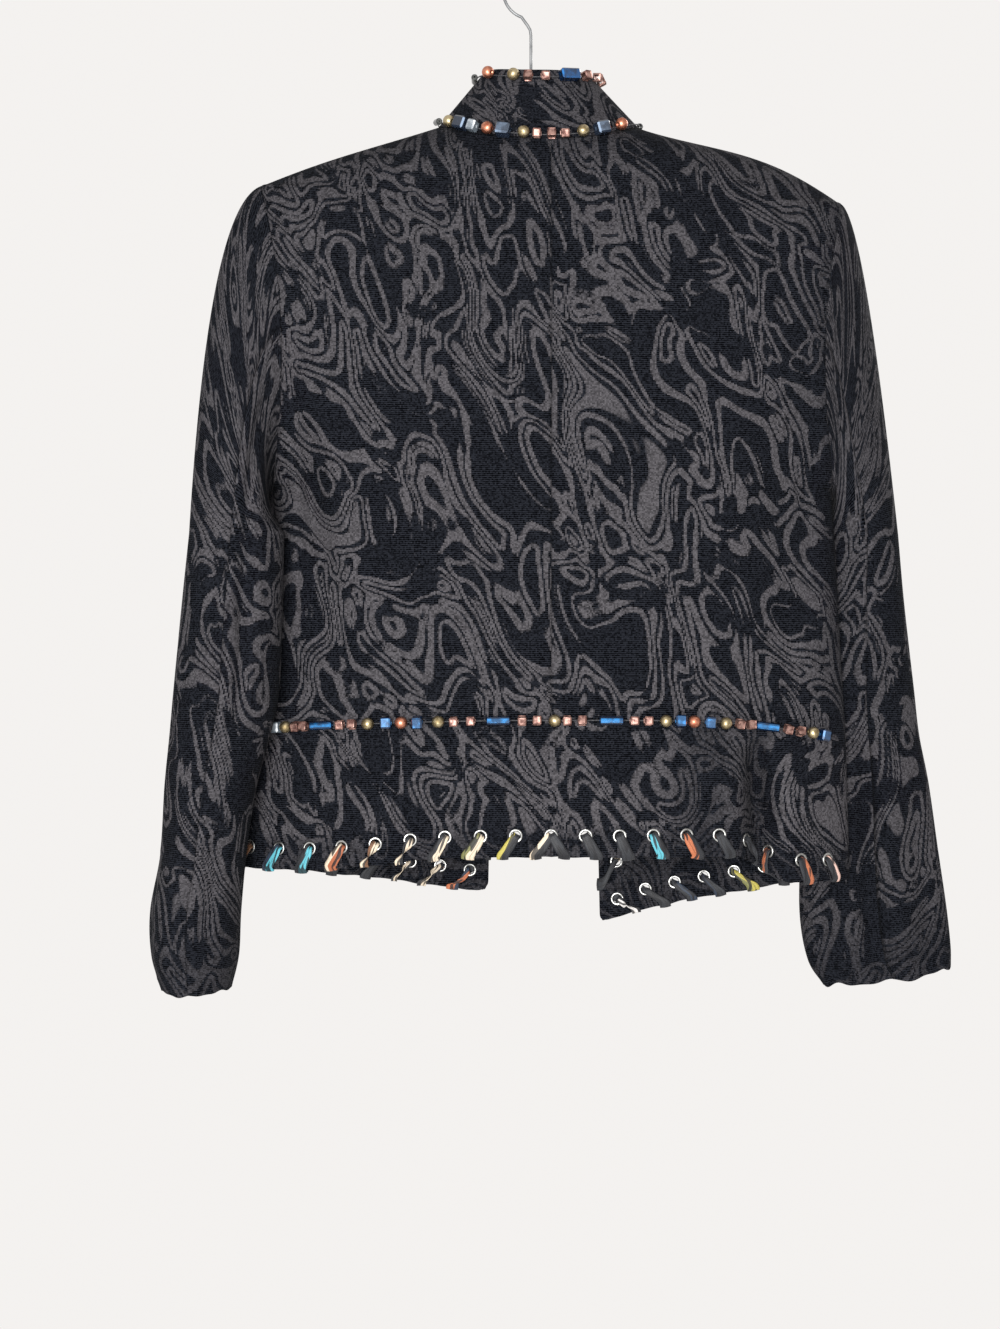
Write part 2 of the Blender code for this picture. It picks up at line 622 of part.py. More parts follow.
def lace(name, half, seats, turns, look):
    """The flat lace: out of each eyelet, over the cloth's edge, up the inside and out of the next."""
    rings = []

    def add_ring(point, wide, flat, width):
        side = unit(wide)
        thick = unit(flat - side * np.dot(flat, side)) * LACE_THICK / 2
        side = side * width / 2
        rings.append([point + side + thick, point - side + thick, point - side - thick, point + side - thick])

    lift = WALL / 2 + EYELET_GRIP + EYELET_METAL + LACE_CLEAR + LACE_THICK / 2
    skim = WALL / 2 + LACE_CLEAR + LACE_THICK / 2
    rim = EYELET_RIM + LACE_CLEAR * 2
    for k, here in enumerate(seats):
        hole = here.place + here.onward * (LACE_PAIR if k == 0 else 0.0)
        turn = turns[k]
        over = tangent(turn.place - hole, here.normal)
        lean = sideways(here.normal, over, here.onward)
        if k == 0:
            add_ring(hole - here.normal * (lift + 1.0), here.onward, here.to_edge, LACE_NARROW)
        add_ring(hole, here.onward, here.to_edge, LACE_NARROW)
        add_ring(hole + here.normal * (lift - 0.5) + over * 0.9, here.onward, here.normal - here.to_edge,
                 LACE_NARROW)
        add_ring(hole + here.normal * lift + over * rim, lean, here.normal, LACE_NARROW * 1.7)
        if k == len(seats) - 1:
            for share in (0.55, 1.0):
                tail = here.to_edge * 3 * share - np.array([0, 0, LACE_TAIL * share])
                add_ring(hole + here.normal * (lift + share) + tail, here.to_edge, here.normal, LACE_WIDE)
            break
        after = seats[k + 1]
        down = sideways(turn.normal, turn.along, here.to_edge)
        add_ring(turn.place + turn.normal * skim + down * LACE_CLEAR, turn.along, turn.normal, LACE_WIDE)
        add_ring(turn.place + down * skim, turn.along, down, LACE_WIDE)
        add_ring(turn.place - turn.normal * skim + down * LACE_CLEAR, turn.along, -turn.normal, LACE_WIDE)
        back_over = tangent(after.place - turn.place, after.normal)
        back_lean = sideways(after.normal, back_over, after.onward)
        add_ring(after.place - after.normal * lift - back_over * rim, back_lean, -after.normal,
                 LACE_NARROW * 1.7)
        add_ring(after.place - after.normal * (lift - 0.5) - back_over * 0.9, after.onward,
                 -after.normal - after.to_edge, LACE_NARROW)
    rings = [ring if half.out > 0 else ring[::-1] for ring in rings]
    return tube(name, rings, look)


def hanger(look):
    """One bent wire: hook, neck, left arm, bar, right arm and its end laid beside the neck."""
    route = []
    centre_z = -HOOK_INSIDE
    for angle in np.linspace(0, 250, 17):
        turn = math.radians(angle)
        radius = HOOK_INSIDE + WIRE
        route.append((radius * math.cos(turn), centre_z + radius * math.sin(turn)))
    route += HOOK_BEND
    route += [(0.0, HANGER_APEX_Z + 4), (-1.0, HANGER_APEX_Z + 1)]

    def arm(half, end):
        spots = []
        for v in HANGER_STEPS + (end,):
            x0, _, z0 = seam_edge(half, v - 0.01)
            x1, _, z1 = seam_edge(half, v + 0.01)
            x, _, z = seam_edge(half, v)
            slope = unit(np.array([x1 - x0, z1 - z0]))
            up = np.array([-slope[1], slope[0]]) * half.out
            below = WALL / 2 + HANGER_CLEAR + WIRE
            spots.append((x - up[0] * below, z - up[1] * below))
        return spots

    def end_turn(top, low, out):
        middle = np.array([top[0] + out * 1.0, (top[1] + low[1]) / 2])
        radius = (top[1] - low[1]) / 2
        return [tuple(middle + radius * np.array([out * math.cos(t), math.sin(t)]))
                for t in np.radians([20, -15, -50])]

    left = arm(LEFT, HANGER_LEFT_END)
    right = arm(RIGHT, HANGER_RIGHT_END)
    left_low = (left[-1][0], left[-1][1] - 2 * HANGER_TURN)
    right_low = (right[-1][0], right[-1][1] - 2 * HANGER_TURN)
    route += left + end_turn(left[-1], left_low, -1) + [left_low]
    route += [right_low] + end_turn(right[-1], right_low, 1)[::-1] + right[::-1]
    beside = 2 * WIRE + 0.35
    route += [(beside + 1.6, HANGER_APEX_Z - 1.4), (beside, HANGER_APEX_Z + 1.5)]
    route += [(beside, HANGER_APEX_Z + HANGER_TAIL)]
    route = np.array(route)
    rings = []
    for k, spot in enumerate(route):
        before = route[max(k - 1, 0)]
        after = route[min(k + 1, len(route) - 1)]
        along = unit(unit(spot - before) + unit(after - spot))
        side = np.array([along[1], 0.0, -along[0]])
        middle = np.array([spot[0], 0.0, spot[1]])
        turns = [2 * math.pi * (j + 0.5) / 6 for j in range(6)]
        rings.append([middle + side * WIRE * math.cos(t) + np.array([0, WIRE, 0]) * math.sin(t) for t in turns])
    return tube("hanger", rings, look)


def build():
    for old in list(bpy.data.objects):
        bpy.data.objects.remove(old)
    cloth = material("jacquard_cloth", CLOTH_COLOUR)
    bead = material("trim_beads", BEAD_COLOUR, 0.6, 0.35)
    steel = material("eyelet_steel", STEEL_COLOUR, 1.0, 0.3)
    ribbon = material("lace_ribbon", LACE_COLOUR)
    wire = material("hanger_wire", WIRE_COLOUR, 1.0, 0.35)

    upper = list(np.linspace(NECK, TIP, 5)) + list(np.linspace(TIP, UNDERARM, 9))[1:]
    upper += list(np.linspace(UNDERARM, WAIST, 5))[1:]
    lower = [WAIST + SEAM / PEPLUM_DEPTH] + list(np.linspace(WAIST, HEM, 4))[1:]
    halves = ((LEFT, "left"), (RIGHT, "right"))
    waist_rows, backs, holes = [], [], []
    for half, name in halves:
        back = Cloth(back_point, -1, half, upper, spread(8))
        back.solid("back_" + name, cloth)
        Cloth(front_point, 1, half, upper, spread(6)).solid("front_" + name, cloth)
        waist_rows.append(back.level_path(WAIST))
        skirt_back = Cloth(back_point, -1, half, lower, skirt_columns(half))
        skirt_front = Cloth(front_point, 1, half, lower, spread(7))
        backs.append(skirt_back)
        seats, turns = seats_and_turns(half, skirt_back, skirt_front)
        lace("lace_" + name, half, seats, turns, ribbon)
        fresh = [(k, seat) for k, seat in enumerate(seats) if k > 0 or half is LEFT]
        for k, seat in fresh:
            eyelet("eyelet_%s_%02d" % (name, k), seat, steel)
        holes += [seat for k, seat in fresh if k <= BACK_EYELETS]
        front_holes = [seat for k, seat in fresh if k > BACK_EYELETS]
        cut_holes(skirt_front.solid("peplum_front_" + name, cloth), front_holes)
    points = np.concatenate([backs[0].points[:, :0:-1], backs[1].points], axis=1)
    normals = np.concatenate([backs[0].normals[:, :0:-1], backs[1].normals], axis=1)
    cut_holes(wall("peplum_back", points, normals, cloth), holes)

    around = list(np.linspace(-2, 2, 25))
    heights = [0, 0.34, 0.67, 1]
    wall("collar", [[collar_point(q, h) for q in around] for h in heights],
         [[collar_normal(q, h) for q in around] for h in heights], cloth)

    for half, name in halves:
        rows = list(np.linspace(-1, 0, 7)) + list(np.linspace(0, len(SLEEVES[half]) - 1, 10))[1:]
        slit = SEAM / 2 / SLEEVE_RADIUS
        for piece, start, end in (("top", -math.pi / 2, math.pi / 2), ("under", math.pi / 2, math.pi * 1.5)):
            angles = np.linspace(start + slit, end - slit, 8)
            wall("sleeve_%s_%s" % (piece, name), [[sleeve_point(half, a, w) for a in angles] for w in rows],
                 [[sleeve_normal(half, a, w) for a in angles] for w in rows], cloth)

    left_row, right_row = waist_rows
    waist = Path(np.concatenate([left_row.points[:0:-1], right_row.points]),
                 np.concatenate([left_row.normals[:0:-1], right_row.normals]))
    runs = LONG_RUN + SHORT_RUN + LONG_RUN + SHORT_RUN
    placed = run_of_beads(left_row.length[-1], runs, BEAD_SPACE, WAIST_REACH_LEFT, WAIST_REACH_RIGHT)
    bead_string("beads_waist", waist, placed, bead)
    turns = np.linspace(-1.97, 1.97, 160)
    for name, h, runs in (("beads_neck", 0.02, (SMALL, SMALL) + (BRASS,) + SHORT_RUN * 6),
                          ("beads_collar", 0.88, (SMALL, SMALL, BUGLE, SMALL, SMALL, BRASS) + SHORT_RUN * 4)):
        path = Path([collar_point(q, h) for q in turns], [collar_normal(q, h) for q in turns])
        middle = float(np.interp(0.0, turns, path.length))
        reach = min(middle, path.length[-1] - middle) - 2.0
        bead_string(name, path, run_of_beads(middle, runs, COLLAR_SPACE, reach, reach), bead)

    hanger(wire)


build()
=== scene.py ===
"""Looks of a short jacquard jacket with bead trim and a ribbon-laced hem, hanging on a wire hanger.

The jacket's back faces -Y, its open fronts face +Y. Tables of sizes are in millimetres.
"""

import math
from collections import namedtuple

import bpy
import numpy as np
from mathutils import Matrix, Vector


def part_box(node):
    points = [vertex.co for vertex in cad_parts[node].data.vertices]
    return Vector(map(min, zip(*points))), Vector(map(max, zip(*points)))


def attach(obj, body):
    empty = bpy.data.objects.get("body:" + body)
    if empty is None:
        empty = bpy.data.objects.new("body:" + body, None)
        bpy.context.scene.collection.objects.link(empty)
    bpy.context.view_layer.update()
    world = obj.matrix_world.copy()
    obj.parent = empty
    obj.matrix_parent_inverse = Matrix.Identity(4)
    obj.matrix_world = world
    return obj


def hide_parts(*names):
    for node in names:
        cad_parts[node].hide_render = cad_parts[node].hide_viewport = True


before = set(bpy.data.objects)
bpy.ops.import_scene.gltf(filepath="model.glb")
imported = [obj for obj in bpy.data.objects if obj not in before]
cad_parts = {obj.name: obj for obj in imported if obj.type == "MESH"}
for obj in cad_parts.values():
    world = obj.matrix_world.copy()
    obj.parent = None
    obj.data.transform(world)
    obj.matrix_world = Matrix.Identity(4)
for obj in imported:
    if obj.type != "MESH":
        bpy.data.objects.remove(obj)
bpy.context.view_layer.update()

MM = 0.001
WALL = 1.4
# Share of the woven figure that shows on the cloth's wrong side.
WRONG_SIDE = 0.45
SEAM = 0.3
# How far the cloth dips at a sewn seam, and how far from the seam the dip reaches.
SEAM_DIP, SEAM_REACH = 0.9, 2.2
SLEEVE_DIP, SLEEVE_REACH = 0.8, 1.8
CENTRE_X = 14.0
ARMHOLE_DEPTH = 45.0

# Cut of the jacket, one row for each half.
Half = namedtuple("Half", "out neck_x neck_z tip_x tip_z rise arm_x arm_z inset waist_x waist_z hem_x hem_z "
                          "waist_curve drop_from drop_to "
                          "edge_neck_x edge_waist_x edge_hem_x edge_hem_z edge_curve")
LEFT = Half(out=-1, neck_x=-71, neck_z=-126, tip_x=-205, tip_z=-170, rise=2, arm_x=-196, arm_z=-400, inset=15,
            waist_x=-213, waist_z=-584, hem_x=-224, hem_z=-689, waist_curve=2.0, drop_from=0.22, drop_to=0.85,
            edge_neck_x=-20, edge_waist_x=-31, edge_hem_x=-33, edge_hem_z=-715, edge_curve=0.9)
RIGHT = Half(out=1, neck_x=83, neck_z=-127, tip_x=236, tip_z=-184, rise=10, arm_x=229, arm_z=-402, inset=15,
             waist_x=240, waist_z=-596, hem_x=243, hem_z=-698, waist_curve=4.0, drop_from=0.58, drop_to=0.80,
             edge_neck_x=46, edge_waist_x=52, edge_hem_x=55, edge_hem_z=-741, edge_curve=0.68)
HALVES = ((LEFT, "left"), (RIGHT, "right"))

# Body levels from neck to hem.
Level = namedtuple("Level", "back_z back_depth back_full back_turn "
                            "front_z front_depth front_full front_turn drop")
LEVELS = (
    Level(-146, 50, 2.0, 1.7, -186, 46, 2.0, 1.7, 1.6),
    Level(-187, 60, 2.2, 1.6, -218, 52, 2.0, 1.6, 1.6),
    Level(-290, 68, 2.4, 1.4, -305, 58, 2.0, 1.4, 1.3),
    Level(-402, 66, 2.3, 1.8, -405, 57, 1.8, 1.7, 1.0),
    Level(-576, 60, 2.2, 1.8, -600, 50, 1.7, 1.7, 1.0),
    Level(-677, 58, 2.2, 1.8, -715, 45, 1.7, 1.7, 1.0),
)
NECK, TIP, UNDERARM, WAIST, HEM = 0.0, 1.0, 3.0, 4.0, 5.0
# Levels in the hem where its finer rows, its fainter figure, its eyelets and its ripples are.
HEM_BAND, FADE_LEVEL, EYELET_LEVEL, RIPPLE_LEVEL = 4.72, 4.74, 4.8, 4.85
# Places across the peplum's back where the figure is dimmed as painted shade, and how far: beside the deep
# fold and in it.
SHADED_PLACES = ((128, 26), (170, 9))

# Folds and creases: where each starts and ends, its half width and its height outward.
Fold = namedtuple("Fold", "x0 z0 x1 z1 half height")
BACK_FOLDS = (
    Fold(169, -590, 170, -770, 12, -17), Fold(206, -586, 207, -740, 18, 4),
    Fold(140, -270, 146, -600, 26, 4), Fold(194, -330, 192, -560, 18, -5),
    Fold(-168, -330, -150, -540, 16, -5), Fold(-120, -610, -126, -715, 22, 4),
    Fold(162, -530, 168, -660, 10, -4), Fold(190, -600, 192, -730, 9, 2),
    Fold(205, -300, 208, -520, 8, -4.5), Fold(-181, -270, -172, -480, 7, -7),
    Fold(-163, -310, -136, -480, 12, 7), Fold(-120, -210, -60, -250, 26, 2),
    Fold(60, -205, 150, -230, 26, 2.2), Fold(96, -420, 60, -570, 22, 2.4),
    Fold(-70, -430, -36, -570, 20, 2.2), Fold(-150, -560, -205, -520, 9, -2),
    Fold(120, -600, 128, -690, 13, -2.2), Fold(-40, -600, -48, -690, 18, 2),
    Fold(70, -600, 64, -690, 16, 2.2), Fold(-190, -600, -196, -700, 10, -2.5),
    Fold(166, -592, 170, -664, 9, -8),
)
FRONT_FOLDS = (
    Fold(-150, -260, -110, -470, 20, 4), Fold(-182, -300, -160, -520, 12, -4),
    Fold(-90, -420, -84, -600, 18, 3), Fold(150, -260, 120, -480, 20, 4),
    Fold(200, -320, 190, -540, 14, -4), Fold(100, -420, 96, -600, 16, 3),
    Fold(-110, -610, -118, -720, 18, 3), Fold(150, -610, 156, -730, 15, -3.5),
    Fold(190, -600, 196, -720, 14, 3), Fold(-60, -230, -44, -380, 14, 2.5),
    Fold(78, -240, 68, -400, 14, 2.5), Fold(-170, -610, -176, -710, 10, -2.5),
)

# Sleeve sections below the underarm, and the sleeve head.
Ring = namedtuple("Ring", "z x half_width y half_depth rise")
SLEEVES = {
    LEFT: (
        Ring(-438, -219.0, 34.5, -44, 35, 0), Ring(-487, -222.0, 36.2, -46, 38, 0),
        Ring(-554, -226.0, 38.2, -49, 39, 0), Ring(-588, -231.0, 36.2, -49, 39, 0),
        Ring(-625, -238.0, 33.2, -46, 41, 0), Ring(-673, -243.5, 31.2, -43, 42, 0),
        Ring(-718, -250.5, 33.2, -38, 43, 0), Ring(-752, -251.5, 31.8, -34, 44, 0),
        Ring(-776, -250.5, 25.0, -33, 43, 0),
    ),
    RIGHT: (
        Ring(-435, 255.5, 29.0, 26, 38, 0), Ring(-487, 257.0, 34.0, 34, 36, 0),
        Ring(-555, 258.0, 42.0, 39, 34, 0), Ring(-590, 260.5, 44.0, 41, 33, 0),
        Ring(-629, 264.0, 48.0, 41, 31, 1), Ring(-680, 266.0, 53.0, 40, 29, 2),
        Ring(-727, 268.5, 56.5, 37, 28, 4), Ring(-760, 273.0, 55.0, 35, 27, 6),
        Ring(-778, 279.0, 49.0, 34, 27, 7),
    ),
}
Crown = namedtuple("Crown", "reach drop under_reach under_drop")
CROWNS = {LEFT: Crown(38, 16, 9, 12), RIGHT: Crown(19, 10, 9, 12)}
ARMHOLE_GAP = 0.3
# Sleeve creases: turn round the sleeve in degrees and row of the table at both ends, half width and height.
SleeveCrease = namedtuple("SleeveCrease", "turn0 row0 turn1 row1 half height")
SLEEVE_CREASES = {
    LEFT: (
        SleeveCrease(60, 0.2, 120, 1.4, 12, -3), SleeveCrease(30, 1.4, 100, 2.6, 10, -2.6),
        SleeveCrease(130, 2.2, 70, 3.6, 9, -2.6), SleeveCrease(70, 4.0, 62, 7.4, 11, 2.5),
        SleeveCrease(115, 4.4, 118, 7.8, 9, -2.5), SleeveCrease(20, 5.0, 24, 7.6, 8, -2.2),
        SleeveCrease(230, 1.0, 300, 2.6, 12, -3), SleeveCrease(280, 3.0, 250, 5.0, 10, 2.6),
        SleeveCrease(200, 4.0, 210, 7.5, 9, -2.4), SleeveCrease(310, 4.6, 318, 7.4, 10, -2.4),
        SleeveCrease(108, -0.8, 114, 2.8, 6, -5), SleeveCrease(92, 0.2, 98, 3.4, 8, 2.5),
    ),
    RIGHT: (
        SleeveCrease(98, 2.4, 96, 8.6, 6, -8), SleeveCrease(78, 3.0, 76, 8.6, 8, 4.5),
        SleeveCrease(116, 3.6, 112, 8.6, 8, 2.4),
        SleeveCrease(60, 0.0, 110, 1.6, 11, -2.6), SleeveCrease(128, 1.2, 70, 2.8, 9, -2.4),
        SleeveCrease(48, 4.0, 44, 7.8, 8, -2.2), SleeveCrease(140, 4.6, 138, 8.0, 7, -2.2),
        SleeveCrease(230, 1.0, 300, 2.6, 12, -3), SleeveCrease(285, 3.0, 255, 5.2, 10, 2.6),
        SleeveCrease(215, 4.4, 218, 8.0, 9, -2.6), SleeveCrease(320, 4.8, 316, 7.8, 9, -2.2),
    ),
}

CUFF_RIPPLE = {LEFT: 0.5, RIGHT: 1.0}
# Way round the sleeve of one degree's turn.
SLEEVE_DEGREE = 0.65

# Collar top edge.
COLLAR_X = 5.0
COLLAR_HALF = 41.0
COLLAR_BACK = 42.0
COLLAR_FRONT = 40.0
COLLAR_BACK_Z = -93.0
COLLAR_SIDE_Z = {LEFT: -85.0, RIGHT: -89.0}
COLLAR_FRONT_Z = -120.0
COLLAR_FRONT_TURN = 62.0

# Eyelets and the ribbon through them.
EYELET_HOLE = 3.4
EYELET_RIM = 5.2
EYELET_ROLL = 0.95
EYELET_FLATTEN = 0.75
EYELET_LIFT = 1.2
BARREL_RADIUS = 3.6
BARREL_DEPTH = 2.6
CLOTH_HOLE = 4.2
# Last eyelet of each half on the back, on the hem and up the front edge, counted from the centre back.
BACK_EYELETS = 9
HEM_EYELETS = 15
EYELETS = 18
RIBBON_WIDE = 8.6
RIBBON_NARROW = 5.8
RIBBON_THICK = 0.4
# How far the ribbon leans along the hem from each eyelet; one run on the right spans the side fold.
BACK_LEAN = {LEFT: 10.0, RIGHT: 8.0}
FRONT_LEAN = 12.0
SPAN_EYELET = 6
SPAN_LEAN = 20.0

CORNER_RADIUS = 10.0
HEM_RIPPLE = 0.3

# Hanger wire.
WIRE = 1.15
HOOK_INSIDE = 20.0
HOOK_BEND = ((-2.4, -46.6), (-0.6, -49.8), (0.0, -54.0))
HANGER_APEX_Z = -96.0
HANGER_LEFT_END = 0.93
HANGER_RIGHT_END = 0.76
HANGER_TURN = 7.0
HANGER_CLEAR = 0.5
HANGER_TAIL = 14.0

# Bead rows: kind and the place across the jacket's back.
WAIST_BEADS = (
    ("crystal", -188.9), ("brass", -181.6), ("cube", -174.6), ("cube", -168.5), ("bugle", -155.2),
    ("cube", -141.2), ("cube", -132.4), ("brass", -120.2), ("blue", -106.7), ("copper", -95.7),
    ("blue", -83.9), ("brass", -68.5), ("cube", -57.5), ("cube", -45.0), ("bugle", -24.8),
    ("cube", -7.5), ("cube", 3.5), ("brass", 16.3), ("cube", 25.5), ("cube", 36.5),
    ("bugle", 57.8), ("cube", 74.7), ("cube", 85.0), ("brass", 97.5), ("blue", 108.5),
    ("copper", 118.4), ("blue", 130.5), ("brass", 141.5), ("cube", 151.8), ("cube", 160.2),
    ("bugle", 174.6), ("cube", 189.3), ("cube", 198.8), ("brass", 207.6), ("blue", 216.4),
)
NECK_BEADS = (
    ("brass", -58.6), ("clear", -50.0), ("crystal", -42.0), ("copper", -31.1), ("clear", -20.0),
    ("brass", -5.5), ("cube", 3.8), ("cube", 14.4), ("cube", 23.8), ("brass", 36.4),
    ("clear", 49.8), ("copper", 64.0),
)
COLLAR_BEADS = (
    ("copper", -28.9), ("brass", -11.8), ("cube", -2.2), ("cube", 9.7), ("slab", 26.0),
    ("cube", 38.5), ("cube", 47.0),
)
SIDE_BEADS = {"beads_neck": ("smoke", "smoke"), "beads_collar": ("smoke", "cube")}
FRONT_RUN = ("brass", "cube", "copper", "smoke")
# Free string from the last bead behind to the first beads at the sides, left and right, and on to the fronts.
SIDE_GAPS = {"beads_neck": (10.0, 33.0), "beads_collar": (22.0, 8.0)}
FRONT_GAP = 16.0
ROW_GAP = 3.4
# Each kind of bead: its length, how far its side is from its axis, and how many sides a cut one has.
Bead = namedtuple("Bead", "length radius sides")
BEADS = {
    "brass": Bead(9.2, 4.5, 0), "copper": Bead(9.4, 4.6, 0), "cube": Bead(5.8, 3.1, 4),
    "blue": Bead(7.8, 4.2, 4), "clear": Bead(10.8, 4.6, 4), "crystal": Bead(7.2, 4.0, 4),
    "bugle": Bead(17.6, 3.1, 6), "slab": Bead(15.6, 3.9, 4), "smoke": Bead(10.0, 2.4, 6),
}
BEAD_LIFT = 0.8
THREAD_RADIUS = 0.5
THREAD_LIFT = 1.4

# Where each kind of piece is cut from the woven cloth, across and up, in metres.
CUT = {"back": (0.0, 0.0), "front": (0.0, 1.1), "peplum_front": (2.3, 0.4), "peplum_back": (0.77, 0.2),
       "sleeve": (3.1, 0.0), "collar": (5.2, 0.6)}

# Studio, in metres: soft lights and a camera at the photograph's viewing angle.
Lamp = namedtuple("Lamp", "name place aim size power")
LAMPS = (
    Lamp("key", (-0.35, -2.7, -0.6), (0, 0, -0.5), 1.2, 126.0),
    Lamp("fill", (1.6, 2.0, 0.6), (0, 0, -0.4), 1.6, 40.0),
)
STUDIO_WHITE = (0.905, 0.885, 0.868, 1)
CAMERA = (-0.0237, -1.5, -0.5351)
LENS = 53.11


def unit(vector):
    return vector / np.maximum(np.linalg.norm(vector, axis=-1, keepdims=True), 1e-12)


def ease(knots, values, at):
    """Smooth curve through the values at the knots."""
    knots = np.asarray(knots, float)
    values = np.asarray(values, float)
    slopes = np.gradient(values, knots)
    i = np.clip(np.searchsorted(knots, at, side="right") - 1, 0, len(knots) - 2)
    step = knots[i + 1] - knots[i]
    t = (at - knots[i]) / step
    return ((1 + 2 * t) * (1 - t) ** 2 * values[i] + t * (1 - t) ** 2 * step * slopes[i]
            + t * t * (3 - 2 * t) * values[i + 1] + t * t * (t - 1) * step * slopes[i + 1])


def level(name, v):
    return ease(range(len(LEVELS)), [getattr(row, name) for row in LEVELS], v)


def armhole(half, angle):
    """Armhole from the shoulder tip at 0 to the underarm at a half turn: x, depth from the middle, z."""
    down = (1 - np.cos(angle)) / 2
    x = half.tip_x + (half.arm_x - half.tip_x) * down - half.out * half.inset * np.sin(angle) ** 2
    return x, ARMHOLE_DEPTH * np.sin(angle), half.tip_z + (half.arm_z - half.tip_z) * down


def seam_edge(half, v):
    """Shoulder line, armhole, then side seam: x, depth from the middle, z."""
    v = np.asarray(v, float)
    angle = np.clip((v - TIP) / (UNDERARM - TIP), 0, 1) * math.pi
    arm_x, arm_depth, arm_z = armhole(half, angle)
    side = np.clip(v - UNDERARM, 0, 1)
    skirt = np.clip(v - WAIST, 0, 1)
    shoulder = np.clip(v, 0, 1)
    regions = [v <= TIP, v <= UNDERARM, v <= WAIST]
    x = np.select(regions, [half.neck_x + (half.tip_x - half.neck_x) * shoulder, arm_x,
                            half.arm_x + (half.waist_x - half.arm_x) * side],
                  half.waist_x + (half.hem_x - half.waist_x) * skirt)
    line = half.neck_z + (half.tip_z - half.neck_z) * shoulder
    z = np.select(regions, [line + half.rise * np.sin(math.pi * shoulder ** 1.5), arm_z,
                            half.arm_z + (half.waist_z - half.arm_z) * side],
                  half.waist_z + (half.hem_z - half.waist_z) * skirt)
    depth = np.where((v > TIP) & (v <= UNDERARM), arm_depth, 0.0)
    return x, depth, z


def ridge(share, off):
    """A crease one high: share runs along it from 0 to 1, off across it in half widths."""
    return np.sqrt(np.sin(math.pi * np.clip(share, 0, 1))) * np.exp(-off * off)


def fold_height(folds, x, z):
    total = np.zeros_like(x)
    for fold in folds:
        run_x, run_z = fold.x1 - fold.x0, fold.z1 - fold.z0
        size = run_x * run_x + run_z * run_z
        along = ((x - fold.x0) * run_x + (z - fold.z0) * run_z) / size
        off = ((x - fold.x0) * run_z - (z - fold.z0) * run_x) / math.sqrt(size) / fold.half
        total += fold.height * ridge(along, off)
    return total


def side_drop(half, s, v):
    """Share of the fall from the centre back to the outer edge that is reached at s."""
    even = s ** (2.0 + (half.waist_curve - 2.0) * np.clip(v - UNDERARM, 0.0, 1.0))
    t = np.clip((s - half.drop_from) / (half.drop_to - half.drop_from), 0.0, 1.0)
    return even + (t * t * (3 - 2 * t) - even) * np.maximum(v - WAIST, 0.0)


def back_point(half, s, v):
    """Middle of the cloth on the back: s runs from the centre back to the outer edge."""
    edge_x, edge_depth, edge_z = seam_edge(half, v)
    centre = CENTRE_X + half.out * SEAM / 2
    x = centre + (edge_x - centre) * s
    centre_z = level("back_z", v)
    z = centre_z + (edge_z - centre_z) * side_drop(half, s, v)
    crown = np.maximum(1 - s ** level("back_full", v), 0.0) ** (1 / level("back_turn", v))
    depth = edge_depth + (level("back_depth", v) - edge_depth) * crown
    depth = depth + fold_height(BACK_FOLDS, x, z) * (1 - s ** 8)
    return np.stack([x, -depth - SEAM / 2, z], axis=-1)


def front_point(half, s, v):
    """Middle of the cloth on a front: s runs from the front edge to the outer edge."""
    edge_x, edge_depth, edge_z = seam_edge(half, v)
    skirt = np.maximum(v - WAIST, 0.0)
    body_x = half.edge_neck_x + (half.edge_waist_x - half.edge_neck_x) * np.minimum(v, WAIST) / WAIST
    start_x = body_x + (half.edge_hem_x - half.edge_waist_x) * skirt
    waist_z = LEVELS[int(WAIST)].front_z
    start_z = np.where(v <= WAIST, level("front_z", np.minimum(v, WAIST)),
                       waist_z + (half.edge_hem_z - waist_z) * skirt)
    power = np.where(v <= WAIST, level("drop", v), 1.0 + (half.edge_curve - 1.0) * skirt)
    x = start_x + (edge_x - start_x) * s
    z = start_z + (edge_z - start_z) * s ** power
    across = np.abs((x - CENTRE_X) / (edge_x - CENTRE_X))
    crown = np.maximum(1 - across ** level("front_full", v), 0.0) ** (1 / level("front_turn", v))
    depth = edge_depth + (level("front_depth", v) - edge_depth) * crown
    depth = depth + fold_height(FRONT_FOLDS, x, z) * (1 - s ** 8) * np.minimum(s * 6, 1)
    return np.stack([x, depth + SEAM / 2, z], axis=-1)


def sleeve_ring(half, angle, w):
    rows = SLEEVES[half]
    names = range(len(rows))
    z, x, a, y, b, rise = (ease(names, [getattr(row, name) for row in rows], w) for name in Ring._fields)
    out, back = np.cos(angle), np.sin(angle)
    return np.stack([x + half.out * a * out, y - b * back, z + rise * out], axis=-1)


def sleeve_point(half, angle, w):
    """Middle of the sleeve cloth: w from -1 at the armhole to 0 at the first ring, then down the table."""
    angle, w = np.broadcast_arrays(np.asarray(angle, float), np.asarray(w, float))
    down = (1 - np.cos(angle)) / 2
    x, depth, z = armhole(half, angle)
    start = np.stack([x + half.out * ARMHOLE_GAP * (1 + down ** 2), -depth, z], axis=-1)
    end = sleeve_ring(half, angle, np.zeros_like(angle))
    crown = CROWNS[half]
    up = np.cos(angle / 2) ** 2
    bend = start.copy()
    bend[..., 0] += half.out * (crown.reach * up + crown.under_reach * (1 - up))
    bend[..., 1] += (end[..., 1] - start[..., 1]) / 3
    bend[..., 2] -= crown.drop * up + crown.under_drop * (1 - up)
    t = np.clip(w + 1, 0, 1)[..., None]
    head = (1 - t) ** 2 * start + 2 * t * (1 - t) * bend + t * t * end
    arm = sleeve_ring(half, angle, np.maximum(w, 0))
    return np.where((w >= 0)[..., None], arm, head)


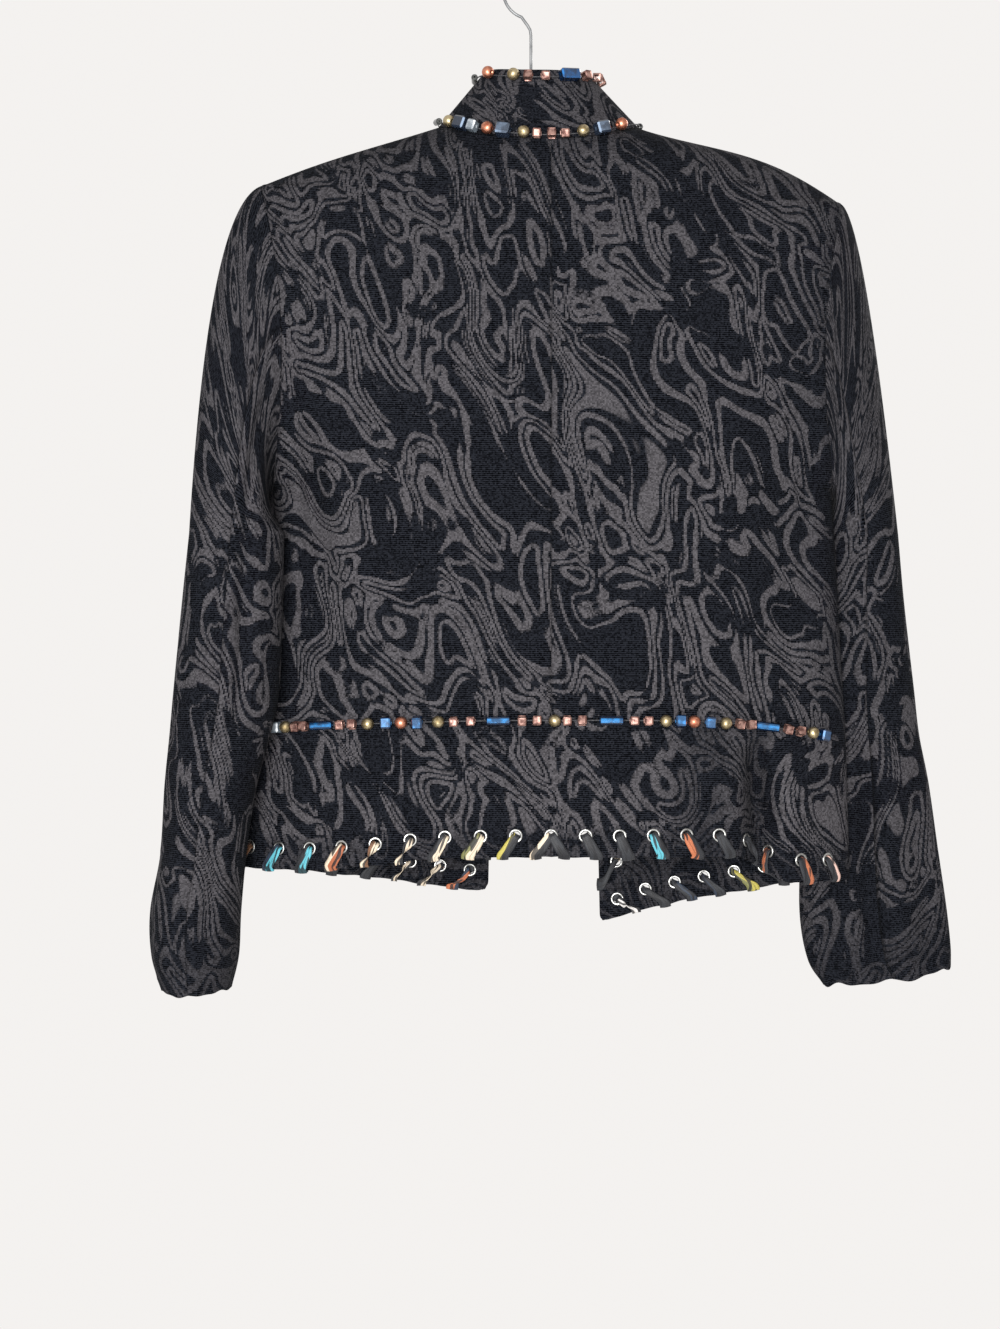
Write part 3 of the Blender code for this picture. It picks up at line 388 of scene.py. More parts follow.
def collar_point(q, h):
    """Middle of the collar cloth: q runs -2 at the left front, 0 at the centre back, 2 at the right front."""
    q, h = np.broadcast_arrays(np.asarray(q, float), np.asarray(h, float))
    side = np.abs(q)
    turn = np.minimum(side, 1.0) * math.pi / 2
    behind = side <= 1
    points = np.zeros(q.shape + (3,))
    for half, _ in HALVES:
        low_back = back_point(half, np.sin(turn), np.zeros_like(q))
        low_front = front_point(half, np.sin(np.clip(2 - side, 0, 1) * math.pi / 2), np.zeros_like(q))
        low = np.where(behind[..., None], low_back, low_front)
        angle = np.where(behind, turn, math.pi / 2 + (side - 1) * math.radians(COLLAR_FRONT_TURN))
        side_z = COLLAR_SIDE_Z[half]
        top_z = np.where(behind, COLLAR_BACK_Z + (side_z - COLLAR_BACK_Z) * np.sin(turn) ** 2,
                         side_z + (COLLAR_FRONT_Z - side_z) * np.maximum(side - 1, 0) ** 1.5)
        depth = np.where(angle < math.pi / 2, COLLAR_BACK, COLLAR_FRONT)
        top_x = COLLAR_X + half.out * COLLAR_HALF * np.sin(angle)
        top = np.stack([top_x, -depth * np.cos(angle), top_z], axis=-1)
        rise = top - low
        start = SEAM * 1.5 + 0.8 * np.where(behind, np.exp(-((side - 1) / 0.35) ** 2), 1.0)
        long = np.linalg.norm(rise, axis=-1)
        made = low + unit(rise) * start[..., None] + rise * (h * (1 - start / long))[..., None]
        mine = (q < 0) if half is LEFT else (q >= 0)
        points = np.where(mine[..., None], made, points)
    return points


def grid_normals(points, outward):
    """Directions square to a grid of points, on the side that outward gives for its middle."""
    down = np.gradient(points, axis=0)
    over = np.gradient(points, axis=1)
    normals = unit(np.cross(over, down))
    middle = normals[points.shape[0] // 2, points.shape[1] // 2]
    return normals if np.dot(middle, outward) > 0 else -normals


def run_lengths(points, axis):
    steps = np.linalg.norm(np.diff(points, axis=axis), axis=-1)
    start = np.zeros_like(np.take(steps, [0], axis=axis))
    return np.concatenate([start, np.cumsum(steps, axis=axis)], axis=axis)


def even_columns(point, half, v, count):
    """Steps across a panel that lie evenly along its surface at the height v."""
    fine = np.sin(np.linspace(0, math.pi / 2, 600))
    length = run_lengths(point(half, fine, np.full_like(fine, v)), 0)
    return np.interp(np.linspace(0, length[-1], count), length, fine)


def deselect():
    for made in bpy.context.selected_objects:
        made.select_set(False)


def make_active(made):
    deselect()
    made.select_set(True)
    bpy.context.view_layer.objects.active = made


def mesh_object(name, points, faces, looks):
    mesh = bpy.data.meshes.new(name)
    mesh.from_pydata((np.asarray(points) * MM).tolist(), [], [list(face) for face in faces])
    for look in looks:
        mesh.materials.append(look)
    made = bpy.data.objects.new(name, mesh)
    bpy.context.scene.collection.objects.link(made)
    return made


def set_attribute(mesh, name, values):
    spot = mesh.attributes.new(name, "FLOAT", "POINT")
    spot.data.foreach_set("value", np.asarray(values, np.float32).ravel())


def smooth(made):
    made.data.polygons.foreach_set("use_smooth", np.ones(len(made.data.polygons), bool))


def lay_flat(made, flat):
    """Gives a piece its flat coordinates, one pair for each point."""
    corners = np.empty(len(made.data.loops), int)
    made.data.loops.foreach_get("vertex_index", corners)
    uv = made.data.uv_layers.new(name="cloth")
    uv.data.foreach_set("uv", flat[corners].ravel())


def thicken(made, thickness):
    """Gives a smooth sheet its thickness, half on each side."""
    smooth(made)
    make_active(made)
    thick = made.modifiers.new("thickness", "SOLIDIFY")
    thick.thickness = thickness * MM
    thick.offset = 0.0
    bpy.ops.object.modifier_apply(modifier=thick.name)


def tube(name, rings, radius, sides, look, capped=False):
    """A round tube through rings, each a middle and the two ways across it."""
    spots, faces = [], []
    for k, (middle, side, out) in enumerate(rings):
        low, high = (k - 1) * sides, k * sides
        for j in range(sides):
            turn = 2 * math.pi * j / sides
            spots.append(middle + (side * math.cos(turn) + out * math.sin(turn)) * radius)
            if k:
                after = (j + 1) % sides
                faces.append((low + j, low + after, high + after, high + j))
    if capped:
        faces += [tuple(range(sides))[::-1], tuple(range(len(spots) - sides, len(spots)))]
    made = mesh_object(name, spots, faces, [look])
    smooth(made)
    return made


def cloth_piece(name, points, normals, flat, figure, look, holes=()):
    """A grid of cloth with its own flat coordinates, open at the holes, given the cloth's thickness."""
    rows, cols = points.shape[:2]
    index = np.arange(rows * cols).reshape(rows, cols)
    quads = np.stack([index[:-1, :-1], index[1:, :-1], index[1:, 1:], index[:-1, 1:]], axis=-1).reshape(-1, 4)
    facing = np.cross(points[1:, :-1] - points[:-1, :-1], points[:-1, 1:] - points[:-1, :-1])
    if np.sum(facing * normals[:-1, :-1]) < 0:
        quads = quads[:, ::-1]
    spots = points.reshape(-1, 3)
    centres = spots[quads].mean(axis=1)
    kept = np.ones(len(quads), bool)
    for place in holes:
        kept &= np.linalg.norm(centres - place, axis=1) > CLOTH_HOLE
    used, quads = np.unique(quads[kept], return_inverse=True)
    quads = quads.reshape(-1, 4)
    made = mesh_object(name, spots[used], quads, [look])
    lay_flat(made, flat.reshape(-1, 2)[used])
    thicken(made, WALL)
    places = np.empty(len(used) * 6)
    made.data.vertices.foreach_get("co", places)
    one, other = places.reshape(2, -1, 3)
    wrong_side = 0 if np.sum((one - other) * normals.reshape(-1, 3)[used]) < 0 else 1
    figure_strength_and_shade = np.tile(np.broadcast_to(figure, (rows, cols)).reshape(-1)[used], (2, 1))
    figure_strength_and_shade[wrong_side] *= WRONG_SIDE
    set_attribute(made.data, "figure", figure_strength_and_shade.ravel())
    return made


def finish_cloth(made, points):
    """Hangs a piece of cloth from the root and hides the part it stands in for."""
    sides = np.cross(points[1:, 1:] - points[:-1, :-1], points[1:, :-1] - points[:-1, 1:])
    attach(made, "root")
    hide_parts(made.name.replace("cloth_", ""))


class Socket:
    """One output of a material's nodes, with arithmetic on values."""

    def __init__(self, tree, output):
        self.tree = tree
        self.output = output

    def node(self, kind, settings=None, give=0, **links):
        """Any node: settings first, then what its inputs take, by name or by number as in_0."""
        made = self.tree.nodes.new(kind)
        for name, value in (settings or {}).items():
            setattr(made, name, value)
        for name, value in links.items():
            slot = made.inputs[int(name[3:]) if name.startswith("in_") else name.replace("_", " ")]
            if isinstance(value, Socket):
                self.tree.links.new(value.output, slot)
            else:
                slot.default_value = value
        return Socket(self.tree, made.outputs[give])

    def maths(self, operation, first, second=0.0):
        return self.node("ShaderNodeMath", {"operation": operation}, in_0=first, in_1=second)

    def __add__(self, other):
        return self.maths("ADD", self, other)

    def __radd__(self, other):
        return self.maths("ADD", other, self)

    def __sub__(self, other):
        return self.maths("SUBTRACT", self, other)

    def __rsub__(self, other):
        return self.maths("SUBTRACT", other, self)

    def __mul__(self, other):
        return self.maths("MULTIPLY", self, other)

    def __rmul__(self, other):
        return self.maths("MULTIPLY", other, self)

    def __truediv__(self, other):
        return self.maths("DIVIDE", self, other)

    def floor(self):
        return self.maths("FLOOR", self)

    def part(self):
        return self.maths("FRACT", self)

    def size(self):
        return self.maths("ABSOLUTE", self)

    def sine(self):
        return self.maths("SINE", self)

    def root(self):
        return self.maths("SQRT", self)

    def smallest(self, other):
        return self.maths("MINIMUM", self, other)

    def largest(self, other):
        return self.maths("MAXIMUM", self, other)

    def limit(self):
        return self.node("ShaderNodeClamp", in_0=self)

    def rising(self, low, high):
        return self.node("ShaderNodeMapRange", {"interpolation_type": "SMOOTHSTEP"},
                         in_0=self, in_1=low, in_2=high)

    def blend(self, low, high):
        """A colour from low at 0 to high at 1."""
        return self.node("ShaderNodeMix", {"data_type": "RGBA"}, 2, in_0=self, in_6=low, in_7=high)

    def noise(self, scale, detail, **shape):
        """Flat noise at this place."""
        return self.node("ShaderNodeTexNoise", {"noise_dimensions": "2D"}, Vector=self, Scale=scale,
                         Detail=detail, **shape)


def new_look(name, **constants):
    """A material, its shader and a first socket to start from."""
    made = bpy.data.materials.new(name)
    made.use_nodes = True
    shader = made.node_tree.nodes["Principled BSDF"]
    for socket, value in constants.items():
        shader.inputs[socket.replace("_", " ")].default_value = value
    return made, shader, Socket(made.node_tree, None)


def feed(shader, **links):
    for name, value in links.items():
        value.tree.links.new(value.output, shader.inputs[name.replace("_", " ")])


def flat_place(start):
    """A piece's flat coordinates, then the way across and the way along alone, in metres."""
    flat = start.node("ShaderNodeUVMap", {"uv_map": "cloth"})
    parts = start.node("ShaderNodeSeparateXYZ", in_0=flat).output.node.outputs
    return flat, Socket(start.tree, parts[0]), Socket(start.tree, parts[1])


# Weave: threads and ribs to the metre, the slant of the strokes, and tones from dark to light.
WARP_THREADS = 870
WEFT_THREADS = 1000
WEFT_RIBS = 4200.0
SLANT = (0.48, 0.88)
GROUND = (0.0, 0.0, 0.0002, 1), (0.0112, 0.0124, 0.0163, 1)
FIGURE = (0.013, 0.0124, 0.0138, 1), (0.073, 0.0691, 0.0752, 1)
# Lines of the figure from the lowest to the highest of its field, and the widest half of one.
LINES = 7.0
WIDEST = 0.355


def jacquard():
    """Black ground, a grey figure of nested slanting strokes stepped by the threads, and weft ribs."""
    made, shader, start = new_look("jacquard_weave", Specular_IOR_Level=0.012, Sheen_Weight=0.006,
                                   Sheen_Roughness=0.5)
    flat, across, up = flat_place(start)
    warp = (across * WARP_THREADS).floor() / WARP_THREADS
    weft = (up * WEFT_THREADS).floor() / WEFT_THREADS
    thread = start.node("ShaderNodeCombineXYZ", X=warp, Y=weft)
    chance = start.node("ShaderNodeTexWhiteNoise", {"noise_dimensions": "2D"}, Vector=thread)
    along = warp * SLANT[0] - weft * SLANT[1]
    over = warp * SLANT[1] + weft * SLANT[0]

    def cloud(shift, stretch, detail, bend):
        place = start.node("ShaderNodeCombineXYZ", X=(along + shift[0]) * stretch[0],
                           Y=(over + shift[1]) * stretch[1])
        return place.noise(1.0, detail, Roughness=0.48, Distortion=bend)

    step = 0.0007
    shifts = ((0, 0), (step, 0), (0, step))
    field, ahead, beside = (cloud(shift, (12.0, 25.0), 1.2, 1.2) for shift in shifts)
    slope_along = (ahead - field) / step
    slope_over = (beside - field) / step
    slope = (slope_along * slope_along + slope_over * slope_over).root()
    width = cloud((0.3, 0.1), (14.0, 24.0), 0.0, 0.0)
    patch = cloud((0.7, 0.4), (15.0, 26.0), 1.0, 0.6)
    line = field * LINES
    off = (line.part() - 0.5).size()
    broad = (line.floor() * 0.5).part() * 2.0
    reach = 0.0004 + width * 0.0031 + broad * 0.0024
    half_stroke = (slope * LINES * reach).smallest(WIDEST) * patch.rising(0.28, 0.40)
    stroke = ((half_stroke - off + (chance - 0.5) * 0.05) * 14.0).limit()
    # The figure's strength per point holds the wrong side's share and the cuff's fade, and also painted shade
    # set where the pieces are built.
    figure_strength_and_shade = start.node("ShaderNodeAttribute", {"attribute_name": "figure"}, 2)
    figure = stroke.largest(field.rising(0.722, 0.732)) * figure_strength_and_shade
    rib = (up * WEFT_RIBS).sine() * 0.5 + 0.5
    fuzz = flat.noise(420.0, 2.0)
    speck = chance * 0.7 + fuzz * 0.3
    ground = (rib * 0.4 + speck * 0.6).rising(0.2, 0.8).blend(*GROUND)
    raised = speck.blend(*FIGURE)
    height = figure * 0.6 + rib * (1 - figure) * 0.25 + fuzz * 0.3
    bump = start.node("ShaderNodeBump", Strength=0.5, Distance=0.0006, Height=height)
    feed(shader, Base_Color=figure.blend(ground, raised), Roughness=0.92 - figure * 0.2, Normal=bump)
    return made


def mottled(name, dark, light, rough, scale, specks=0.5, metallic=1.0):
    """Metal or thread in two tones with a fine grain."""
    made, shader, start = new_look(name, Metallic=metallic)
    spot = start.node("ShaderNodeTexCoord", None, 3)
    mottle = start.node("ShaderNodeTexNoise", Vector=spot, Scale=scale, Detail=3.0)
    shade = mottle.rising(0.35, 0.65)
    bump = start.node("ShaderNodeBump", Strength=specks, Distance=0.0003, Height=mottle)
    feed(shader, Base_Color=shade.blend(dark, light), Roughness=rough + (1 - shade) * 0.2, Normal=bump)
    return made


def glass(name, dark, light):
    """Bead glass, with a painted highlight where it faces the eye, and a few clouds in it."""
    made, shader, start = new_look(name, Specular_IOR_Level=0.5, Coat_Weight=0.3, Coat_Roughness=0.18)
    spot = start.node("ShaderNodeTexCoord", None, 3)
    cloud = start.node("ShaderNodeTexNoise", Vector=spot, Scale=180.0, Detail=1.0)
    edge = start.node("ShaderNodeLayerWeight", None, 1, Blend=0.5)
    # Painted highlight: lightest where the facets face the camera, patchy with the clouds.
    shade = (1 - edge).rising(0.7, 1.0) * (0.3 + cloud.rising(0.38, 0.62) * 0.8)
    feed(shader, Base_Color=shade.limit().blend(dark, light), Roughness=0.12 + cloud * 0.25)
    return made


def printed_ribbon():
    """Flat ribbon printed in runs of two colours, with dark slanting strokes over both, and painted shade
    along a lengthwise fold.
    """
    made, shader, start = new_look("printed_ribbon", Specular_IOR_Level=0.22, Sheen_Weight=0.03)
    tones = ("first", "second")
    first, second = (start.node("ShaderNodeAttribute", {"attribute_name": tone}) for tone in tones)
    _, across, along = flat_place(start)
    streak = start.node("ShaderNodeCombineXYZ", X=across * 420.0, Y=along * 45.0).noise(1.0, 1.0)
    slanted = start.node("ShaderNodeCombineXYZ", X=across * 330.0 + along * 90.0, Y=along * 75.0)
    ink = slanted.noise(1.0, 0.0).rising(0.56, 0.60) * 0.9
    place = across / RIBBON_WIDE * 1000.0
    share = (place + (streak - 0.5) * 0.45).rising(0.60, 0.64)
    # Painted shade: a dark line along a lengthwise fold, a third of the way across.
    crease = 1 - ((place - 0.33) * 14.0).size().limit()
    thread = (along * 7000.0).sine() * 0.5 + 0.5
    colour = ink.blend(share.blend(first, second), (0.010, 0.010, 0.012, 1))
    colour = start.node("ShaderNodeMix", {"data_type": "RGBA", "blend_type": "MULTIPLY"}, 2,
                        in_0=thread * 0.2 + crease * 0.6, in_6=colour, in_7=(0.35, 0.33, 0.32, 1))
    bump = start.node("ShaderNodeBump", Strength=0.3, Distance=0.0002, Height=thread)
    feed(shader, Base_Color=colour, Roughness=0.42 + streak * 0.25, Normal=bump)
    return made


def eyelet_seats():
    """Middles of each half's eyelets; both halves start at the one in the centre back."""
    seats = {name: [] for _, name in HALVES}
    for half, name in HALVES:
        for k in range(EYELETS + 1):
            node = "eyelet_%s_%02d" % (name, k) if k or half is LEFT else "eyelet_left_00"
            low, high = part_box(node)
            seats[name].append((np.array(low) + np.array(high)) / 2 / MM)
    return seats


def build_panels(cloth):
    """Backs and fronts from the neck to the waist seam."""
    rows = np.concatenate([np.linspace(NECK, TIP, 26), np.linspace(TIP, UNDERARM, 78)[1:],
                           np.linspace(UNDERARM, WAIST, 58)[1:]])
    for number, (half, name) in enumerate(HALVES):
        for side, point, facing, count in (("back", back_point, -1, 84), ("front", front_point, 1, 72)):
            cols = even_columns(point, half, UNDERARM, count)
            s, v = np.meshgrid(cols, rows)
            points = point(half, s, v)
            normals = grid_normals(points, (0, facing, 0))
            flat = np.stack([half.out * run_lengths(points, 1), points[..., 2]], axis=-1) * MM
            flat = flat + CUT[side] + np.array([0.004 * number, 0.0])
            inset = np.exp(-(run_lengths(points, 1) / SEAM_REACH) ** 2) if side == "back" else 0.0 * s
            points = points - normals * (inset * SEAM_DIP)[..., None]
            # Painted shade: the figure is dimmed at the shoulders, which turn up away from the light, and
            # where the right side turns away.
            figure = (1 - 0.5 * np.exp(-v)) * (1 - (0.0, 0.6)[number] * s ** 12)
            made = cloth_piece("cloth_%s_%s" % (side, name), points, normals, flat, figure, cloth)
            finish_cloth(made, points)


def build_peplum(cloth, seats):
    """One piece behind and two in front, from the waist seam to the hem; returns their grids."""
    rows = np.concatenate([np.linspace(WAIST + 0.0005, HEM_BAND, 24), np.linspace(HEM_BAND, HEM, 24)[1:]])
    skirts = {}
    for half, name in HALVES:
        for side, point, facing, count in (("back", back_point, -1, 190), ("front", front_point, 1, 150)):
            cols = even_columns(point, half, EYELET_LEVEL, count)
            s, v = np.meshgrid(cols, rows)
            points = point(half, s, v)
            if side == "front":
                points = round_corner(points, CORNER_RADIUS)
            width = run_lengths(points, 1)
            ripple = np.sin(width / 5.3 + 1.0) + 0.7 * np.sin(width / 3.1) + 0.8 * np.sin(width / 11.0 + 0.5)
            near_edge = np.clip((v - RIPPLE_LEVEL) / (HEM - RIPPLE_LEVEL), 0, 1)
            points[..., 2] += HEM_RIPPLE * ripple * near_edge ** 2
            normals = grid_normals(points, (0, facing, 0))
            flat = np.stack([half.out * run_lengths(points, 1), points[..., 2]], axis=-1) * MM
            skirts[side, name] = points, normals, flat
    for _, name in HALVES:
        points, normals, flat = skirts["front", name]
        holes = seats[name][BACK_EYELETS + 1:]
        made = cloth_piece("cloth_peplum_front_" + name, points, normals, flat + CUT["peplum_front"], 0.7,
                           cloth, holes)
        finish_cloth(made, points)
    halves = zip(skirts["back", "left"], skirts["back", "right"])
    points, normals, flat = (np.concatenate([a[:, :0:-1], b], axis=1) for a, b in halves)
    holes = seats["left"][:BACK_EYELETS + 1] + seats["right"][1:BACK_EYELETS + 1]
    # Painted shade: the figure is dimmed beside and in the deep fold.
    figure = 1 - 0.6 * sum(np.exp(-((points[..., 0] - x) / reach) ** 2) for x, reach in SHADED_PLACES)
    figure = figure * (1 - 0.55 * np.clip((rows[:, None] - FADE_LEVEL) / 0.1, 0, 1))
    made = cloth_piece("cloth_peplum_back", points, normals, flat + CUT["peplum_back"], figure, cloth, holes)
    finish_cloth(made, points)
    return skirts


def build_sleeves(cloth):
    for number, (half, name) in enumerate(HALVES):
        last = len(SLEEVES[half]) - 1
        w = np.concatenate([np.linspace(-1, 0, 46), np.linspace(0, last, 110)[1:]])
        for piece, start in (("top", -90.0), ("under", 90.0)):
            turns = np.linspace(start + 0.05, start + 179.95, 60)
            angle, row = np.meshgrid(np.radians(turns), w)
            points = sleeve_point(half, angle, row)
            normals = grid_normals(points, (half.out if piece == "top" else -half.out, 0, 0))
            lift = np.zeros_like(row)
            for crease in SLEEVE_CREASES[half]:
                for wrap in (-360, 0, 360):
                    share = (row - crease.row0) / (crease.row1 - crease.row0)
                    middle = crease.turn0 + (crease.turn1 - crease.turn0) * share + wrap
                    off = (np.degrees(angle) - middle) * SLEEVE_DEGREE / crease.half
                    lift += crease.height * ridge(share, off)
            turned = np.degrees(angle) - start
            seam = np.minimum(np.abs(turned), np.abs(turned - 180)) * SLEEVE_DEGREE
            lift = lift - SLEEVE_DIP * np.exp(-(seam / SLEEVE_REACH) ** 2)
            points = points + normals * lift[..., None]
            low = np.clip(row - last + 1.0, 0, 1) ** 2
            ripple = np.sin(angle * 7.3 + 2.0) + 0.8 * np.sin(angle * 12.7 + 0.4)
            points[..., 2] += low * (0.7 * np.sin(angle * 3 + 0.6) + CUFF_RIPPLE[half] * ripple)
            around = run_lengths(points, 1)
            along = run_lengths(points, 0).mean(axis=1, keepdims=True) * np.ones_like(around)
            apart = np.array([0.9 * number, 0.3 * (piece == "top")])
            flat = np.stack([around, -along], axis=-1) * MM + CUT["sleeve"] + apart
            # Fainter towards the cuff; the right sleeve's figure is dimmer than the left's all along, as
            # painted shade.
            figure = (0.9, 0.8)[number] - 0.5 * np.clip((row - last + 2.6) / 1.6, 0, 1)
            made = cloth_piece("cloth_sleeve_%s_%s" % (piece, name), points, normals, flat, figure, cloth)
            finish_cloth(made, points)


def build_collar(cloth):
    q, h = np.meshgrid(np.linspace(-2, 2, 220), np.linspace(0, 1, 26))
    points = collar_point(q, h)
    normals = grid_normals(points, (0, -1, 0))
    around = run_lengths(points, 1)
    flat = np.stack([around - around[:, 110:111], points[..., 2] * 1.4], axis=-1) * MM + CUT["collar"]
    made = cloth_piece("cloth_collar", points, normals, flat, 0.75, cloth)
    finish_cloth(made, points)


def round_corner(points, radius):
    """Pulls the corner of a grid at its first column and last row in to a round one."""
    across = run_lengths(points, 1)
    down = run_lengths(points, 0)
    from_edge = np.maximum(radius - across, 0.0)
    from_hem = np.maximum(radius - (down[-1:] - down), 0.0)
    far = np.hypot(from_edge, from_hem)
    pull = np.maximum(1 - radius / np.maximum(far, 1e-6), 0.0)
    inward = unit(np.gradient(points, axis=1)) * (from_edge * pull)[..., None]
    upward = unit(np.gradient(points, axis=0)) * (from_hem * pull)[..., None]
    return points + inward - upward


class Line:
    """A run of points with outward directions, measured along its length."""

    def __init__(self, points, normals):
        self.points, self.normals = np.asarray(points), np.asarray(normals)
        self.length = run_lengths(self.points, 0)

    def at(self, distance):
        point = np.array([np.interp(distance, self.length, self.points[:, k]) for k in range(3)])
        normal = np.array([np.interp(distance, self.length, self.normals[:, k]) for k in range(3)])
        along = np.array([np.interp(distance + 0.6, self.length, self.points[:, k])
                          - np.interp(distance - 0.6, self.length, self.points[:, k]) for k in range(3)])
        return point, unit(normal), unit(along)


def model_eyelet(steel):
    """One eyelet: a rolled rim on each side of the cloth, joined by a barrel."""
    deselect()
    middle = (EYELET_RIM + EYELET_HOLE) / 2
    bpy.ops.mesh.primitive_torus_add(major_radius=middle * MM, minor_radius=EYELET_ROLL * MM,
                                     major_segments=28, minor_segments=10)
    rim = bpy.context.object
    rim.name = "eyelet_model"
    bpy.ops.object.mode_set(mode="EDIT")
    bpy.ops.mesh.select_all(action="SELECT")
    bpy.ops.transform.resize(value=(1, 1, EYELET_FLATTEN))
    bpy.ops.transform.translate(value=(0, 0, EYELET_LIFT * MM))
    bpy.ops.mesh.duplicate()
    bpy.ops.transform.translate(value=(0, 0, -2 * EYELET_LIFT * MM))
    bpy.ops.mesh.select_all(action="DESELECT")
    bpy.ops.mesh.primitive_cylinder_add(vertices=28, radius=BARREL_RADIUS * MM, depth=BARREL_DEPTH * MM,
                                        end_fill_type="NOTHING")
    bpy.ops.object.mode_set(mode="OBJECT")
    rim.data.materials.append(steel)
    bpy.ops.object.shade_smooth()
    return rim


def select_ends(bead, beyond):
    """Selects the faces whose middles lie past a height along the bead's axis, either way."""
    for face in bead.data.polygons:
        face.select = abs(face.center.z) > beyond
    for part in (bead.data.edges, bead.data.vertices):
        part.foreach_set("select", np.zeros(len(part), bool))


def drill(bead, beyond, ring):
    """A string hole: the end faces, drawn in by the ring's width, are opened to the bead's middle."""
    select_ends(bead, beyond)
    bpy.ops.object.mode_set(mode="EDIT")
    bpy.ops.mesh.select_mode(type="FACE")
    if ring:
        bpy.ops.mesh.inset(thickness=ring)
    bpy.ops.mesh.delete(type="FACE")
    bpy.ops.mesh.select_mode(type="EDGE")
    bpy.ops.mesh.select_non_manifold(extend=False)
    bpy.ops.mesh.extrude_region()
    bpy.ops.transform.resize(value=(0.9, 0.9, 0.05), center_override=(0, 0, 0))
    bpy.ops.object.mode_set(mode="OBJECT")


def model_bead(kind, look):
    deselect()
    radius, length, sides = BEADS[kind].radius * MM, BEADS[kind].length * MM, BEADS[kind].sides
    if not sides:
        bpy.ops.mesh.primitive_uv_sphere_add(segments=20, ring_count=12, radius=radius)
        bead = bpy.context.object
        bpy.ops.object.mode_set(mode="EDIT")
        bpy.ops.mesh.select_all(action="SELECT")
        bpy.ops.transform.resize(value=(1, 1, length / 2 / radius))
        bpy.ops.object.mode_set(mode="OBJECT")
        drill(bead, length / 2 * 0.96, 0.0)
        turn = 180.0
    else:
        half_side = math.pi / sides
        bpy.ops.mesh.primitive_cylinder_add(vertices=sides, radius=radius / math.cos(half_side),
                                            depth=length)
        bead = bpy.context.object
        bpy.ops.object.mode_set(mode="EDIT")
        bpy.ops.mesh.select_all(action="SELECT")
        bpy.ops.transform.rotate(value=half_side, orient_axis="Z", center_override=(0, 0, 0))
        cut, steps = (0.12, 2) if kind == "cube" else (0.26, 1)
        bpy.ops.mesh.bevel(offset=cut * radius, segments=steps, affect="EDGES")
        bpy.ops.object.mode_set(mode="OBJECT")
        drill(bead, length / 2 * 0.98, 0.45 * radius)
        turn = 28.0
    if kind == "cube":
        for face in bead.data.polygons:
            face.select = face.area > 0.6 * length * radius and abs(face.normal.z) < 0.1
        bpy.ops.object.mode_set(mode="EDIT")
        bpy.ops.mesh.select_mode(type="FACE")
        bpy.ops.mesh.inset(thickness=0.16 * radius, depth=-0.2 * radius, use_individual=True)
        bpy.ops.object.mode_set(mode="OBJECT")
    bpy.ops.object.shade_smooth_by_angle(angle=math.radians(turn))
    bead.name = "bead_model_" + kind
    bead.data.materials.append(look)
    return bead


def place_copy(model, name, point, axes):
    """A copy with its own mesh, its local axes turned to the given ones."""
    copy = bpy.data.objects.new(name, model.data.copy())
    bpy.context.scene.collection.objects.link(copy)
    spots = np.empty(len(copy.data.vertices) * 3)
    copy.data.vertices.foreach_get("co", spots)
    moved = spots.reshape(-1, 3) @ np.asarray(axes) + np.asarray(point) * MM
    copy.data.vertices.foreach_set("co", moved.ravel())
    return copy


def join(pieces, name):
    deselect()
    for piece in pieces:
        piece.select_set(True)
    bpy.context.view_layer.objects.active = pieces[0]
    bpy.ops.object.join()
    pieces[0].name = name
    return pieces[0]


def bead_row(name, line, placed, models, thread_look):
    """Beads along a line over the cloth, on their thread."""
    made = []
    for k, (kind, distance) in enumerate(placed):
        point, normal, along = line.at(distance)
        level_out = unit(normal * (1, 1, 0.2))
        facing = unit(level_out - along * np.dot(level_out, along))
        side = np.cross(along, facing)
        tilt = 0.3 * math.sin(k * 2.4)
        first = side * math.cos(tilt) + facing * math.sin(tilt)
        second = facing * math.cos(tilt) - side * math.sin(tilt)
        middle = point + normal * (WALL / 2 + BEAD_LIFT + BEADS[kind].radius)
        made.append(place_copy(models[kind], "%s_%02d" % (name, k), middle, [first, second, along]))
    rings = []
    for distance in np.arange(placed[0][1], placed[-1][1], 2.0):
        point, normal, along = line.at(distance)
        rings.append((point + normal * (WALL / 2 + THREAD_LIFT), np.cross(along, normal), normal))
    thread = tube(name + "_thread", rings, THREAD_RADIUS, 6, thread_look)
    made = join([thread] + made, "trim_" + name)
    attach(made, "root")
    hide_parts(name)


def across_line(line, x, low, high):
    """Distance along a line where it passes x, between two distances."""
    inside = (line.length >= low) & (line.length <= high)
    return float(np.interp(x, line.points[inside, 0], line.length[inside]))


